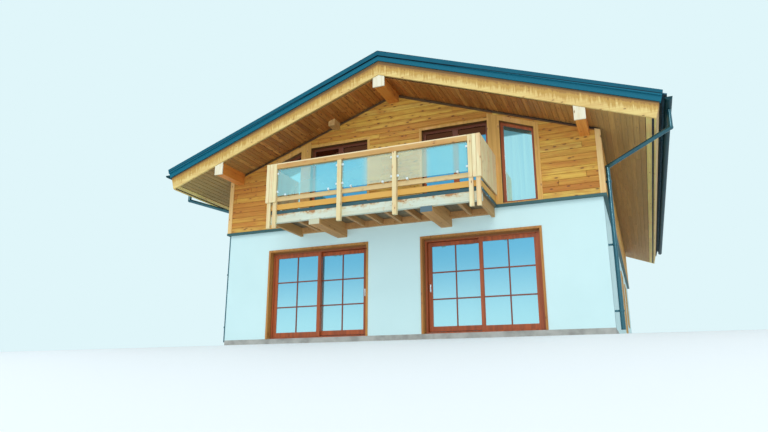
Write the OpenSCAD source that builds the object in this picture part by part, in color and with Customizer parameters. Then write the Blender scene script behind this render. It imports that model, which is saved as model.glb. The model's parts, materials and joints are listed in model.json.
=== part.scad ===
// Alpine chalet: a rendered ground storey, a timber-clad upper storey under a wide
// twenty degree gable roof, a front balcony on two cantilever beams and two sliding
// terrace doors. Millimetres, Z up, origin on the ground at the centre of the footprint.
// The front faces -Y.

/* [House] */
// Width of the rendered walls, outside to outside
house_w = 9200; // [8600:10:10400]
// Depth of the rendered walls, outside to outside
house_d = 13600; // [12000:10:16000]
// Thickness of the ground storey walls
wall_t = 380; // [330:5:420]
// Thickness of the ground slab
slab_h = 150; // [100:5:260]
// Height of the rendered walls above the slab
ground_storey_h = 2670; // [2400:5:2900]
// Thickness of the upper floor
upper_floor_t = 300; // [200:5:340]

/* [Timber storey] */
// Height from the render to the soffit, at the face of the side walls
knee_h = 1535; // [1350:5:1900]
// Thickness of the upper walls with their cladding
upper_wall_t = 340; // [300:5:380]
// How far the cladding stands proud of the render
clad_proud = 50; // [30:1:70]
// Height of the metal strip below the cladding
flashing_h = 55; // [30:1:80]
// How far the metal strip stands out past the cladding
flashing_out = 30; // [26:1:45]
// Height of the dark gap between the cladding and the soffit
shadow_gap_h = 58; // [25:1:70]
// Depth of that gap
shadow_gap_d = 24; // [15:1:28]
// Width of the boards at the corners
corner_board_w = 92; // [60:1:140]
// Thickness of the boards at the corners
corner_board_t = 22; // [12:1:25]

/* [Roof] */
// Pitch of the roof in degrees
roof_pitch = 20; // [18:0.5:23]
// How far the barge boards stand in front of the gable wall
gable_overhang = 1000; // [700:10:1300]
// Distance from the side walls' render to the ends of the barge boards
eave_overhang = 1125; // [900:5:1300]
// Lean of the cut ends of the roof edge, in degrees from upright
end_lean = 15; // [5:0.5:18]
// How far the drip edge stands out past the barge boards
drip_out = 21; // [12:1:120]
// How far the roof metal stands out past the drip edge
metal_out = 78; // [10:1:90]
// Upright height of the timber part of the roof edge
barge_h = 340; // [300:5:430]
// Thickness of the barge boards
barge_t = 50; // [40:1:60]
// How far the barge boards reach below the soffit
barge_drop = 10; // [6:1:40]
// Upright height of the battened upper deck
batten_h = 200; // [180:5:300]
// Thickness of the roof metal on its boards
metal_t = 25; // [15:1:30]
// How far the metal verge stands above the roof metal
verge_lip = 15; // [5:1:30]
// How far each step of the metal verge stands out past the one below
verge_step_out = 30; // [20:1:45]
// Distance between the standing seams
seam_pitch = 600; // [450:10:700]
// Height of a standing seam
seam_h = 30; // [20:1:40]
// Width of a standing seam
seam_w = 14; // [10:1:20]
// Width of each side of the ridge cap
ridge_cap_w = 160; // [120:5:220]
// Thickness of the ridge cap
ridge_cap_t = 6; // [4:1:10]
// Width of the outer eave board
outer_eave_board_w = 35; // [25:1:110]
// Width of the vent slot between the eave boards
vent_slot_w = 44; // [20:1:50]
// Width of the inner eave board
inner_eave_board_w = 100; // [80:1:130]
// Thickness of the eave boards
eave_board_t = 20; // [15:1:26]

/* [Purlins] */
// Width of the ridge purlin
ridge_purlin_w = 260; // [200:5:300]
// Height of the ridge purlin below the peak of the soffit
ridge_purlin_h = 290; // [220:5:340]
// Distance from the side walls' render in to the middle of an eave purlin
eave_purlin_in = 250; // [230:5:310]
// Width of an eave purlin
eave_purlin_w = 200; // [160:5:230]
// Height of an eave purlin below the soffit at its middle
eave_purlin_h = 273; // [200:1:290]
// Distance from the centre line to the middle of the short purlin on the left
stub_x = 1550; // [1300:10:1800]
// Width of the short purlin
stub_w = 180; // [140:5:220]
// Height of the short purlin below the soffit at its middle
stub_h = 190; // [120:5:200]
// How far the short purlin stands out of the cladding
stub_out = 320; // [200:5:500]
// Thickness of the boards that cap the purlin ends
cap_t = 34; // [24:1:40]
// How far a cap board stands out past its purlin at the sides and below
cap_lip = 14; // [8:1:20]

/* [Rainwater] */
// Thickness of the metal at the drip edge
drip_t = 4; // [2:0.5:6]
// Outer radius of a gutter
gutter_r = 68; // [62:1:90]
// Gap between the drip edge and a gutter
gutter_gap = 50; // [20:1:70]
// Distance that the gutter brackets keep at most, middle to middle
bracket_pitch = 800; // [600:10:1000]
// Width of a gutter bracket
gutter_bracket_w = 30; // [20:1:40]
// Thickness of the gutter metal
gutter_t = 4; // [3:0.5:6]
// Height of the gutter rim above the underside of the drip edge
gutter_rise = 110; // [70:1:130]
// Outer diameter of a downpipe
pipe_d = 90; // [76:1:104]
// Gap between an upright downpipe and the metal strip at the storey line
pipe_gap = 6; // [5:1:20]
// How far behind the front corner the downpipes stand
pipe_back = 200; // [150:5:300]
// How far in front of the wall the right gutter outlet is
right_outlet = 500; // [350:10:700]
// How far in front of the wall the left gutter outlet is
left_outlet = 90; // [60:5:300]
// Height from the underside of a gutter down to the upper bend
outlet_drop = 365; // [250:5:400]
// Height from the upper bend down to the lower bend
swan_drop = 410; // [350:5:500]
// Height of the open foot of a downpipe
pipe_foot = 120; // [60:5:200]
// How far a bend stands out past its pipes
bend_t = 5; // [3:1:8]
// Thickness of a pipe clamp
clamp_t = 12; // [6:1:16]
// Height of a pipe clamp
clamp_h = 40; // [30:1:60]
// Distance of the end clamps from the bend and the foot
clamp_end = 350; // [250:10:500]

/* [Terrace doors] */
// Width of the opening for a terrace door
door_w = 2720; // [2400:10:3060]
// Height of the wall over the terrace doors
lintel_h = 490; // [430:5:560]
// Distance from the centre line to the middle of the left terrace door
left_door_x = 2050; // [1840:5:2300]
// Distance from the centre line to the middle of the right terrace door
right_door_x = 1960; // [1760:5:2200]
// Thickness of the timber lining of a door opening
lining_t = 50; // [35:1:60]
// How far the lining stands proud of the render
lining_proud = 15; // [8:1:30]
// Width of the outer frame of a door
jamb_w = 60; // [45:1:75]
// How far the outer frame stands past the leaves at the front and at the back
jamb_lip = 20; // [10:1:26]
// How far the outer frame is set back from the render
frame_back = 120; // [90:5:150]
// Height of the door threshold
threshold_h = 40; // [25:1:60]
// Thickness of a door leaf
leaf_t = 60; // [50:1:68]
// Gap between the fixed leaf and the sliding leaf
leaf_gap = 15; // [8:1:20]
// Width of a leaf's stiles and top rail
stile_w = 90; // [70:1:110]
// Height of a leaf's bottom rail
bottom_rail_h = 110; // [90:1:140]
// Clearance round a sliding leaf
slide_clear = 8; // [6:1:12]
// Height of the track under a sliding leaf
track_h = 10; // [6:1:14]
// Width of the track under a sliding leaf
track_w = 10; // [6:1:14]
// Radius of the rollers under a sliding leaf
roller_r = 20; // [16:1:26]
// Width of the rollers under a sliding leaf
roller_w = 20; // [14:1:26]
// Running gap between a roller and its track
roller_gap = 0.3; // [0.2:0.1:0.8]
// Thickness of a pane
glass_t = 24; // [16:1:30]

/* [Door handles] */
// Height of the middle of a door handle above the slab
handle_z = 1020; // [880:5:1100]
// Width of the back plate of a handle
plate_w = 30; // [24:1:40]
// Thickness of the back plate of a handle
plate_t = 8; // [5:1:12]
// Diameter of the grip of a handle
grip_d = 18; // [14:1:24]
// Distance from the leaf to the middle of the grip
grip_out = 34; // [28:1:40]
// Length of the grip
grip_h = 170; // [140:5:220]

/* [Upper doors and windows] */
// Height of the sill of the upper openings above the render
upper_sill_h = 75; // [60:1:110]
// Inner edge of an upper door opening, from the centre line
upper_door_in = 700; // [600:5:800]
// Width of an upper door opening
upper_door_w = 1570; // [1400:5:1760]
// Height of an upper door opening
upper_door_h = 1995; // [1900:5:2060]
// Distance between an upper door opening and its gable window
gable_win_gap = 275; // [240:5:340]
// Width of a gable window
gable_win_w = 750; // [600:5:820]
// Upright distance from the soffit to the head of a gable window
gable_win_drop = 260; // [200:5:320]
// Width of the boards round the upper doors and the side and rear openings
casing_w = 60; // [50:1:110]
// Width of the boards round the gable windows
gable_casing_w = 108; // [50:1:130]
// Thickness of the boards round the openings
casing_t = 24; // [15:1:28]
// Width of a window or upper door frame
sash_w = 65; // [50:1:95]
// Depth of a window or upper door frame
sash_d = 80; // [60:1:100]
// How far the upper frames are set back from the wall face
sash_back = 110; // [80:5:140]

/* [Side and rear openings] */
// Width of a side or rear window
side_win_w = 1200; // [900:10:1500]
// Height of a side or rear window
side_win_h = 1250; // [1000:10:1400]
// Distance from the middle of the house to the middle of a side window
side_win_y = 3300; // [2800:10:3800]
// Distance from the centre line to the middle of a rear window
rear_win_x = 2300; // [2000:10:2600]
// Height of the sill of the upper rear windows above the render
rear_sill_h = 630; // [540:5:720]
// Width of the side entrance door opening
entrance_w = 1050; // [950:10:1200]
// Place of the middle of the entrance door, behind the middle of the house
entrance_y = 500; // [200:10:1200]

/* [Balcony] */
// Distance from the centre line to the left side of the balcony
balcony_left = 2605; // [2500:5:3080]
// Distance from the centre line to the right side of the balcony
balcony_right = 2430; // [2300:5:2670]
// How far the balcony stands out from the render
balcony_out = 1500; // [1300:10:1600]
// Thickness of the balcony floor boards
deck_t = 60; // [50:1:68]
// Height of the railing above the balcony floor
rail_h = 1125; // [1050:5:1300]
// Height of the handrail plank
handrail_h = 130; // [80:1:150]
// Depth of the handrail plank
handrail_d = 140; // [120:1:160]
// Width of a balcony post
post_w = 95; // [80:1:112]
// Depth of a balcony post
post_d = 90; // [80:1:102]
// Distance between the two middle posts
post_spread = 1300; // [1160:10:1480]
// How far the balcony posts reach below the floor boards
post_drop = 330; // [270:5:350]
// Width of the boarded corner panels, seen from the front
corner_w = 270; // [250:5:340]
// Thickness of the boarded panels
panel_t = 30; // [24:1:36]
// Width of the small posts under a corner panel
small_post_w = 90; // [70:1:100]
// Height from the balcony floor to the glass rail
glass_rail_rise = 235; // [205:5:280]
// Height of the glass rail
glass_rail_h = 105; // [60:1:120]
// Thickness of the two lower rails
lower_rail_t = 40; // [30:1:50]
// Height from the balcony floor to the toe rail
toe_rail_rise = 30; // [15:1:40]
// Height of the toe rail
toe_rail_h = 130; // [90:1:150]
// How far the boarded panels reach below the glass rail
panel_drop = 30; // [10:1:50]
// Height of the edge beam
edge_beam_h = 210; // [180:5:250]
// Thickness of the edge beam
edge_beam_t = 100; // [80:1:120]
// How far the side beams stand in from the edge of the floor
side_beam_in = 60; // [20:1:90]
// Width of a cantilever beam
cantilever_w = 260; // [220:5:290]
// Height of a cantilever beam
cantilever_h = 330; // [280:5:360]
// Distance from the centre line to the left cantilever beam
cantilever_left = 1370; // [1200:5:1560]
// Distance from the centre line to the right cantilever beam
cantilever_right = 1235; // [1040:5:1360]
// Width of a joist
joist_w = 70; // [50:1:90]
// Height of a joist
joist_h = 130; // [100:5:190]
// Height of the board along the wall that carries the joists
ledger_h = 145; // [100:5:200]
// Thickness of that board
ledger_t = 80; // [50:1:100]
// Distance that the joists keep at most, middle to middle
joist_pitch = 560; // [480:10:700]
// Thickness of the metal at the balcony edge and on the beam ends
deck_metal_t = 3; // [2:0.5:5]
// How far the metal reaches down over the edge beam
deck_metal_lip = 8; // [5:1:25]

/* [Balcony glass] */
// Thickness of the balcony glass
balcony_glass_t = 10; // [8:1:14]
// Gap between the balcony glass and the posts
balcony_glass_gap = 18; // [12:1:30]
// Gap above and below the balcony glass
balcony_glass_air = 12; // [8:1:20]
// Height of a glass clip
clip_h = 45; // [35:1:60]
// Depth of a glass clip
clip_d = 34; // [26:1:40]
// How far a glass clip reaches over the glass
clip_grip = 28; // [20:1:36]
// Distance from the rails to the nearest glass clip
clip_end = 90; // [60:5:140]
// Distance from the side of a pane to the bracket under it
bracket_in = 190; // [120:10:260]
// Width of the bracket under a pane
bracket_w = 40; // [30:1:50]
// Thickness of the foot of that bracket
bracket_t = 6; // [4:1:8]

/* [Hidden] */
$fn = 32;
pipe_sides = 64;
// Cuts run past what they cut by this much
over = 10;
seat_gap = 0.3;
hw = house_w / 2;
hd = house_d / 2;
rise = tan(roof_pitch);
floor_top = slab_h;
storey_line = slab_h + ground_storey_h;
ridge_soffit = storey_line + knee_h + rise * hw;
clad_x = hw + clad_proud;
clad_y = hd + clad_proud;
flash_x = clad_x + flashing_out;
flash_y = clad_y + flashing_out;
clad_low = storey_line + flashing_h;
upper_in_x = clad_x - upper_wall_t;
upper_in_y = clad_y - upper_wall_t;
barge_x = hw + eave_overhang;
drip_x = barge_x + drip_out;
drip_face = drip_x + drip_t * cos(roof_pitch);
metal_x = drip_x + metal_out;
gable_y = clad_y + gable_overhang;
deck_end_y = gable_y - barge_t;
deck_h = barge_h + batten_h;
verge_step_h = (batten_h + metal_t + verge_lip) / 2;
outer_board_in = barge_x - outer_eave_board_w;
inner_board_out = outer_board_in - vent_slot_w;
eave_purlin_x = hw - eave_purlin_in;
gutter_top = roof_corner(drip_face, barge_h)[1] + gutter_rise;
gutter_in = drip_face + tan(end_lean) * (gutter_top - soffit(drip_face)) + seat_gap;
gutter_x = gutter_in + gutter_gap + gutter_r;
pipe_x = flash_x + pipe_gap + pipe_d / 2;
upper_bend = gutter_top - gutter_r - outlet_drop;
lower_bend = upper_bend - swan_drop;
door_head = storey_line - lintel_h;
door_side = door_w / 2;
frame_out = door_side - lining_t;
frame_in = frame_out - jamb_w;
frame_top = door_head - lining_t;
leaf_w = frame_in + stile_w / 2;
leaf_head = frame_top - jamb_w;
leaf_foot = floor_top + threshold_h;
frame_y = -hd + frame_back;
outer_plane = frame_y + jamb_lip;
inner_plane = outer_plane + leaf_t + leaf_gap;
frame_end_y = inner_plane + leaf_t + jamb_lip;
slide_low = leaf_foot + track_h + slide_clear;
slide_high = leaf_head - slide_clear;
upper_sill = storey_line + upper_sill_h;
upper_head = upper_sill + upper_door_h;
upper_door_out = upper_door_in + upper_door_w;
upper_door_mid = upper_door_in + upper_door_w / 2;
gable_win_in = upper_door_out + gable_win_gap;
gable_win_out = gable_win_in + gable_win_w;
deck_low = storey_line;
deck_top = deck_low + deck_t;
rail_top = deck_top + rail_h;
rail_under = rail_top - handrail_h;
glass_rail_low = deck_top + glass_rail_rise;
glass_rail_top = glass_rail_low + glass_rail_h;
toe_rail_low = deck_top + toe_rail_rise;
edge_beam_low = deck_low - edge_beam_h;
cantilever_low = deck_low - cantilever_h;
post_low = deck_low - post_drop;
front_face = -hd - balcony_out;
edge_face = front_face + post_d;
edge_back = edge_face + edge_beam_t;
casing_y = -clad_y - casing_t;
side_beam_t = edge_beam_t - panel_t;
side_beam_inner = panel_t + side_beam_in + side_beam_t;
ledger_y = -hd - ledger_t;
glass_y = front_face + post_d / 2;
balcony_mid = (balcony_right - balcony_left) / 2;
middle_posts = [balcony_mid - post_spread / 2, balcony_mid + post_spread / 2];
cantilevers = [-cantilever_left, cantilever_right];
door_centres = [-left_door_x, right_door_x];
timber = "#d9b06a";
timber_pale = "#e8d3a2";
timber_dark = "#a8743c";
cladding = "#d29a4f";
frame_red = "#8a4326";
render_white = "#eef3f2";
metal_teal = "#23687f";
glass_tint = "#9fd0de";
steel = "#b8bcc0";
concrete = "#a9a9a4";

// Height of the soffit above a point
function soffit(x) = ridge_soffit - rise * abs(x);

// A corner on the leaning line that meets the right soffit at x, at an upright height above it
function roof_corner(x, h) =
  let (out = x + h / (1 / tan(end_lean) + rise)) [out, soffit(out) + h];

// Places spread evenly between two ends, without the ends
function spread(from, to, pitch) =
  let (count = max(1, ceil(abs(to - from) / pitch) - 1))
  [for (i = [1:count]) from + (to - from) * i / (count + 1)];

// Middles of the two small posts at each corner of the balcony
function corner_posts() = [-balcony_left + panel_t + small_post_w / 2,
  -balcony_left + corner_w - small_post_w / 2,
  balcony_right - corner_w + small_post_w / 2,
  balcony_right - panel_t - small_post_w / 2];

// Places of the balcony glass panels, from edge to edge along X
function glass_bays() =
  let (clear = post_w / 2 + balcony_glass_gap)
  [[-balcony_left + corner_w + balcony_glass_gap, middle_posts[0] - clear],
    [middle_posts[0] + clear, middle_posts[1] - clear],
    [middle_posts[1] + clear, balcony_right - corner_w - balcony_glass_gap]];

module box(x0, x1, y0, y1, z0, z1) {
  translate([x0, y0, z0]) cube([x1 - x0, y1 - y0, z1 - z0]);
}

// An upright outline in X and Z carried along Y
module along_y(y0, y1) {
  translate([0, y1, 0]) rotate([90, 0, 0]) linear_extrude(y1 - y0) children();
}

// An upright outline in Y and Z carried along X
module along_x(x0, x1) {
  translate([x0, 0, 0]) rotate([90, 0, 90]) linear_extrude(x1 - x0) children();
}

module rect(x0, x1, z0, z1) {
  translate([x0, z0]) square([x1 - x0, z1 - z0]);
}

// An outline that stands on a level line and ends just under the soffit
module under_soffit(x0, x1, z0, drop = seat_gap) {
  polygon([[x0, z0], [x1, z0], [x1, soffit(x1) - drop], [x0, soffit(x0) - drop]]);
}

// A band along the right roof slope, between two upright distances from the soffit
module slope_band(x0, x1, low, high) {
  polygon([[x0, soffit(x0) + low], [x1, soffit(x1) + low],
    [x1, soffit(x1) + high], [x0, soffit(x0) + high]]);
}

// The same band with its outer end cut at the lean of the roof edge
module cut_band(x0, x1, low, high) {
  polygon([[x0, soffit(x0) + low], roof_corner(x1, low),
    roof_corner(x1, high), [x0, soffit(x0) + high]]);
}

// A board or plate along the slope with both ends cut at that lean
module cut_plate(x0, x1, low, high) {
  polygon([roof_corner(x0, low), roof_corner(x1, low),
    roof_corner(x1, high), roof_corner(x0, high)]);
}

module both_slopes() {
  children();
  mirror([1, 0]) children();
}

module both_sides() {
  children();
  mirror([1, 0, 0]) children();
}

module front_and_rear() {
  children();
  mirror([0, 1, 0]) children();
}

// Outline of a gable from a level line up to a line below the soffit
module gable_outline(half_w, z0, drop = seat_gap) {
  polygon([[-half_w, z0], [half_w, z0], [half_w, soffit(half_w) - drop],
    [0, ridge_soffit - drop], [-half_w, soffit(half_w) - drop]]);
}

module ridge_purlin_outline() {
  gable_outline(ridge_purlin_w / 2, ridge_soffit - ridge_purlin_h);
}

module eave_purlin_outline() {
  w = eave_purlin_w / 2;
  both_slopes() under_soffit(eave_purlin_x - w, eave_purlin_x + w,
    soffit(eave_purlin_x) - eave_purlin_h);
}

// Pockets for the purlins run up past the soffit, so that they cut cleanly
module purlin_pockets() {
  ridge_half = ridge_purlin_w / 2;
  eave_half = eave_purlin_w / 2;
  rect(-ridge_half, ridge_half, ridge_soffit - ridge_purlin_h, ridge_soffit + over);
  both_slopes()
    rect(eave_purlin_x - eave_half, eave_purlin_x + eave_half,
      soffit(eave_purlin_x) - eave_purlin_h, soffit(eave_purlin_x - eave_half) + over);
}

// Openings in a gable follow the roof where they come near it
module below_roof(drop) {
  intersection() {
    children();
    gable_outline(hw, storey_line, drop);
  }
}

module upper_door_outline(grow = 0) {
  below_roof(gable_win_drop / 2 - grow) both_slopes()
    rect(upper_door_in - grow, upper_door_out + grow, upper_sill - grow, upper_head + grow);
}

// The gable window keeps its head parallel to the roof
module gable_window_outline(grow = 0) {
  x0 = gable_win_in - grow;
  x1 = gable_win_out + grow;
  head = grow / cos(roof_pitch) - gable_win_drop;
  both_slopes()
    polygon([[x0, upper_sill - grow], [x1, upper_sill - grow],
      [x1, soffit(x1) + head], [x0, soffit(x0) + head]]);
}

module rear_window(head, grow) {
  both_slopes()
    rect(rear_win_x - side_win_w / 2 - grow, rear_win_x + side_win_w / 2 + grow,
      head - side_win_h - grow, head + grow);
}

module rear_upper_outline(grow = 0) {
  below_roof(gable_win_drop / 2 - grow)
    rear_window(storey_line + rear_sill_h + side_win_h, grow);
}

module rear_lower_outline(grow = 0) {
  rear_window(door_head, grow);
}

// Windows of a side wall, drawn in Y and Z
module side_windows_outline(grow = 0) {
  low = door_head - side_win_h;
  for (side = [-1, 1])
    rect(side * side_win_y - side_win_w / 2 - grow, side * side_win_y + side_win_w / 2 + grow,
      low - grow, door_head + grow);
}

module entrance_outline(grow = 0) {
  rect(entrance_y - entrance_w / 2 - grow, entrance_y + entrance_w / 2 + grow,
    floor_top, door_head + grow);
}

// The dark gap under the soffit, on the outer face of a side wall
module side_shadow_gap() {
  both_slopes()
    slope_band(clad_x - shadow_gap_d, clad_x + over, -shadow_gap_h, over);
}

module ground_slab() {
  color(concrete) box(-hw, hw, -hd, hd, 0, floor_top);
}

module front_wall_pier(x0, x1) {
  color(render_white) box(x0, x1, -hd, -hd + wall_t, floor_top, door_head);
}

module front_wall_left() {
  front_wall_pier(-hw, -left_door_x - door_side);
}

module front_wall_middle() {
  front_wall_pier(-left_door_x + door_side, right_door_x - door_side);
}

module front_wall_right() {
  front_wall_pier(right_door_x + door_side, hw);
}

// The cantilever beams pass through pockets in the wall over the doors
module front_wall_lintel() {
  color(render_white) difference() {
    box(-hw, hw, -hd, -hd + wall_t, door_head, storey_line);
    for (x = cantilevers)
      box(x - cantilever_w / 2, x + cantilever_w / 2, -hd - over, -hd + wall_t + over,
        cantilever_low, deck_low + over);
  }
}

module left_wall() {
  color(render_white) along_x(-hw, -hw + wall_t) difference() {
    rect(-hd + wall_t, hd - wall_t, floor_top, storey_line);
    side_windows_outline();
  }
}

module right_wall() {
  color(render_white) along_x(hw - wall_t, hw) difference() {
    rect(-hd + wall_t, hd - wall_t, floor_top, storey_line);
    side_windows_outline();
    entrance_outline();
  }
}

module rear_wall() {
  color(render_white) along_y(hd - wall_t, hd) difference() {
    rect(-hw, hw, floor_top, storey_line);
    rear_lower_outline();
  }
}

module upper_floor() {
  color(timber_pale)
    box(-hw + wall_t, hw - wall_t, -hd + wall_t, hd - wall_t,
      storey_line - upper_floor_t, storey_line);
}

// A gable wall stands on the rendered wall, and its cladding on the metal strip.
// The purlins pass through it, and the side walls' cladding laps its ends.
module gable_wall() {
  difference() {
    along_y(-clad_y, -upper_in_y) difference() {
      gable_outline(clad_x, storey_line);
      purlin_pockets();
      side_shadow_gap();
      children();
    }
    box(-clad_x - over, clad_x + over, -clad_y - over, -hd, storey_line - over, clad_low);
    both_sides() box(hw, clad_x + over, -hd, -upper_in_y + over, storey_line - over,
      ridge_soffit);
    along_y(-clad_y - over, -clad_y + shadow_gap_d)
      both_slopes() slope_band(0, clad_x + over, -shadow_gap_h, over);
  }
}

module front_gable_wall() {
  color(cladding) gable_wall() {
    upper_door_outline();
    gable_window_outline();
  }
}

module rear_gable_wall() {
  color(cladding) mirror([0, 1, 0]) gable_wall() rear_upper_outline();
}

module right_upper_wall() {
  color(cladding) {
    along_y(-upper_in_y, upper_in_y) difference() {
      under_soffit(upper_in_x, hw, storey_line);
      purlin_pockets();
    }
    along_y(-hd, hd) difference() {
      under_soffit(hw, clad_x, clad_low);
      side_shadow_gap();
    }
  }
}

module left_upper_wall() {
  mirror([1, 0, 0]) right_upper_wall();
}

module storey_flashing() {
  color(metal_teal) difference() {
    box(-flash_x, flash_x, -flash_y, flash_y, storey_line, clad_low);
    box(-hw, hw, -hd, hd, storey_line - over, clad_low + over);
  }
}

// Corner boards end at the gap below the soffit
module corner_boards() {
  face_y = clad_y + corner_board_t;
  face_x = clad_x + corner_board_t;
  color(timber_pale) front_and_rear() both_sides() {
    along_y(-face_y, -clad_y)
      under_soffit(clad_x - corner_board_w, face_x, clad_low, shadow_gap_h);
    along_y(-clad_y, -clad_y + corner_board_w)
      under_soffit(clad_x, face_x, clad_low, shadow_gap_h);
  }
}

// The timber deck ends with the barge boards and the battened deck above it at the drip
module roof_right() {
  color(timber_dark) along_y(-deck_end_y, deck_end_y)
    polygon([[0, ridge_soffit], roof_corner(barge_x, 0), roof_corner(barge_x, barge_h),
      roof_corner(drip_x, barge_h), roof_corner(drip_x, deck_h),
      [0, ridge_soffit + deck_h]]);
}

module roof_left() {
  mirror([1, 0, 0]) roof_right();
}

// Sheets with standing seams that run down the slope
module roof_metal_right() {
  seam_foot = deck_h + metal_t / 2;
  run = roof_corner(metal_x, seam_foot)[0] / cos(roof_pitch);
  color(metal_teal) {
    along_y(-deck_end_y, deck_end_y)
      cut_band(0, metal_x, deck_h + seat_gap, deck_h + metal_t);
    for (y = spread(-deck_end_y, deck_end_y, seam_pitch))
      translate([0, y - seam_w / 2, ridge_soffit + seam_foot])
        rotate([0, roof_pitch, 0]) cube([run, seam_w, seam_h + metal_t / 2]);
  }
}

module roof_metal_left() {
  mirror([1, 0, 0]) roof_metal_right();
}

// The cap bends over the ridge and rests on the seams
module ridge_cap() {
  lift = deck_h + metal_t / 2 + (seam_h + metal_t / 2) / cos(roof_pitch) + seat_gap;
  side = soffit(ridge_cap_w) + lift;
  top = ridge_soffit + lift;
  color(metal_teal) along_y(-deck_end_y, deck_end_y)
    polygon([[-ridge_cap_w, side], [0, top], [ridge_cap_w, side],
      [ridge_cap_w, side + ridge_cap_t], [0, top + ridge_cap_t],
      [-ridge_cap_w, side + ridge_cap_t]]);
}

// Two metal steps close the roof edge above the barge boards
module verge_trim() {
  step_1 = barge_h + verge_step_h;
  color(metal_teal) front_and_rear() {
    along_y(-gable_y - verge_step_out, -deck_end_y)
      both_slopes() cut_band(0, drip_face, barge_h + seat_gap, step_1);
    along_y(-gable_y - 2 * verge_step_out, -deck_end_y)
      both_slopes() cut_band(0, drip_face, step_1, step_1 + verge_step_h);
  }
}

// Metal closes the drip of the upper deck at each eave
module eave_flashing() {
  low = barge_h - drip_t - seat_gap;
  color(metal_teal) along_y(-deck_end_y, deck_end_y) both_slopes() {
    cut_plate(drip_x + seat_gap, drip_face, low, deck_h);
    cut_plate(barge_x + seat_gap, drip_face, low, barge_h - seat_gap);
  }
}

// Two boards under the soffit at each eave, with the vent slot between them
module eave_boards() {
  low = -eave_board_t - seat_gap;
  color(timber_pale) along_y(-deck_end_y, deck_end_y) both_slopes() {
    cut_plate(outer_board_in, barge_x, low, -seat_gap);
    cut_plate(inner_board_out - inner_eave_board_w, inner_board_out, low, -seat_gap);
  }
}

module barge_boards() {
  color(timber_pale) front_and_rear() along_y(-gable_y, -deck_end_y)
    both_slopes() cut_band(0, barge_x, -barge_drop, barge_h);
}

module ridge_purlin() {
  color(timber) along_y(-deck_end_y, deck_end_y) ridge_purlin_outline();
}

module eave_purlins() {
  color(timber) along_y(-deck_end_y, deck_end_y) eave_purlin_outline();
}

module short_purlin() {
  w = stub_w / 2;
  color(timber) along_y(-clad_y - stub_out, -clad_y)
    under_soffit(-stub_x - w, -stub_x + w, soffit(stub_x) - stub_h);
}

// Pale boards cap the purlin ends below the barge boards
module purlin_caps() {
  ridge_half = ridge_purlin_w / 2 + cap_lip;
  eave_half = eave_purlin_w / 2 + cap_lip;
  color(timber_pale) front_and_rear() along_y(-deck_end_y - cap_t, -deck_end_y)
    difference() {
      union() {
        rect(-ridge_half, ridge_half, ridge_soffit - ridge_purlin_h - cap_lip, ridge_soffit);
        both_slopes()
          rect(eave_purlin_x - eave_half, eave_purlin_x + eave_half,
            soffit(eave_purlin_x) - eave_purlin_h - cap_lip,
            soffit(eave_purlin_x - eave_half));
      }
      both_slopes() slope_band(0, metal_x, -barge_drop - seat_gap, barge_h);
    }
}

module half_round(radius) {
  difference() {
    circle(radius);
    rect(-radius - over, radius + over, 0, radius + over);
  }
}

// A half round gutter with closed ends, held by brackets at the drip edge
module gutter_right() {
  end_y = deck_end_y;
  color(metal_teal) {
    along_y(-end_y, end_y) translate([gutter_x, gutter_top]) difference() {
      half_round(gutter_r);
      circle(gutter_r - gutter_t);
    }
    front_and_rear() along_y(-end_y, -end_y + gutter_t)
      translate([gutter_x, gutter_top]) half_round(gutter_r - gutter_t / 2);
    for (y = spread(-end_y, end_y, bracket_pitch))
      box(gutter_in, gutter_x - gutter_r + gutter_t / 2, y - gutter_bracket_w / 2,
        y + gutter_bracket_w / 2, gutter_top - gutter_t, gutter_top);
  }
}

module gutter_left() {
  mirror([1, 0, 0]) gutter_right();
}

// A round pipe between two points
module pipe_run(from, to) {
  way = to - from;
  length = norm(way);
  translate(from)
    rotate([0, acos(way.z / length), atan2(way.y, way.x)])
      cylinder(h = length, d = pipe_d, $fn = pipe_sides);
}

// A bend is a little wider than the pipes that it joins
module pipe_bend(at) {
  translate(at) sphere(d = pipe_d + 2 * bend_t, $fn = pipe_sides);
}

// The outlet drops from the gutter, then the pipe runs back to the wall and down
module downpipe(outlet) {
  outlet_y = -hd - outlet;
  top = [gutter_x, outlet_y, gutter_top - gutter_r - seat_gap];
  bend_1 = [gutter_x, outlet_y, upper_bend];
  bend_2 = [pipe_x, -hd + pipe_back, lower_bend];
  foot = [pipe_x, -hd + pipe_back, pipe_foot];
  color(metal_teal) {
    pipe_run(bend_1, top);
    pipe_bend(bend_1);
    pipe_run(bend_1, bend_2);
    pipe_bend(bend_2);
    pipe_run(foot, bend_2);
    for (z = [lower_bend - clamp_end, (lower_bend + pipe_foot) / 2, pipe_foot + clamp_end]) {
      translate([foot.x, foot.y, z])
        cylinder(h = clamp_h, d = pipe_d + 2 * clamp_t, $fn = pipe_sides);
      box(z > clad_low ? clad_x : hw, foot.x, foot.y - clamp_t, foot.y + clamp_t,
        z, z + clamp_h);
    }
  }
}

module downpipe_right() {
  downpipe(right_outlet);
}

module downpipe_left() {
  mirror([1, 0, 0]) downpipe(left_outlet);
}

// Timber boards line the jambs and head of each terrace door opening
module door_linings() {
  color(timber) for (x = door_centres)
    along_y(-hd - lining_proud, -hd + wall_t) difference() {
      rect(x - door_side, x + door_side, floor_top, door_head);
      rect(x - frame_out, x + frame_out, floor_top - over, frame_top);
    }
}

// Outer frame with its threshold, and the track in the plane of the sliding leaf
module door_frame(x) {
  track_y = inner_plane + leaf_t / 2;
  color(frame_red) {
    along_y(frame_y, frame_end_y) difference() {
      rect(x - frame_out, x + frame_out, floor_top, frame_top);
      rect(x - frame_in, x + frame_in, leaf_foot, leaf_head);
    }
    box(x - frame_in, x + frame_in, track_y - track_w / 2, track_y + track_w / 2,
      leaf_foot, leaf_foot + track_h);
  }
}

module left_door_frame() {
  door_frame(-left_door_x);
}

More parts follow.
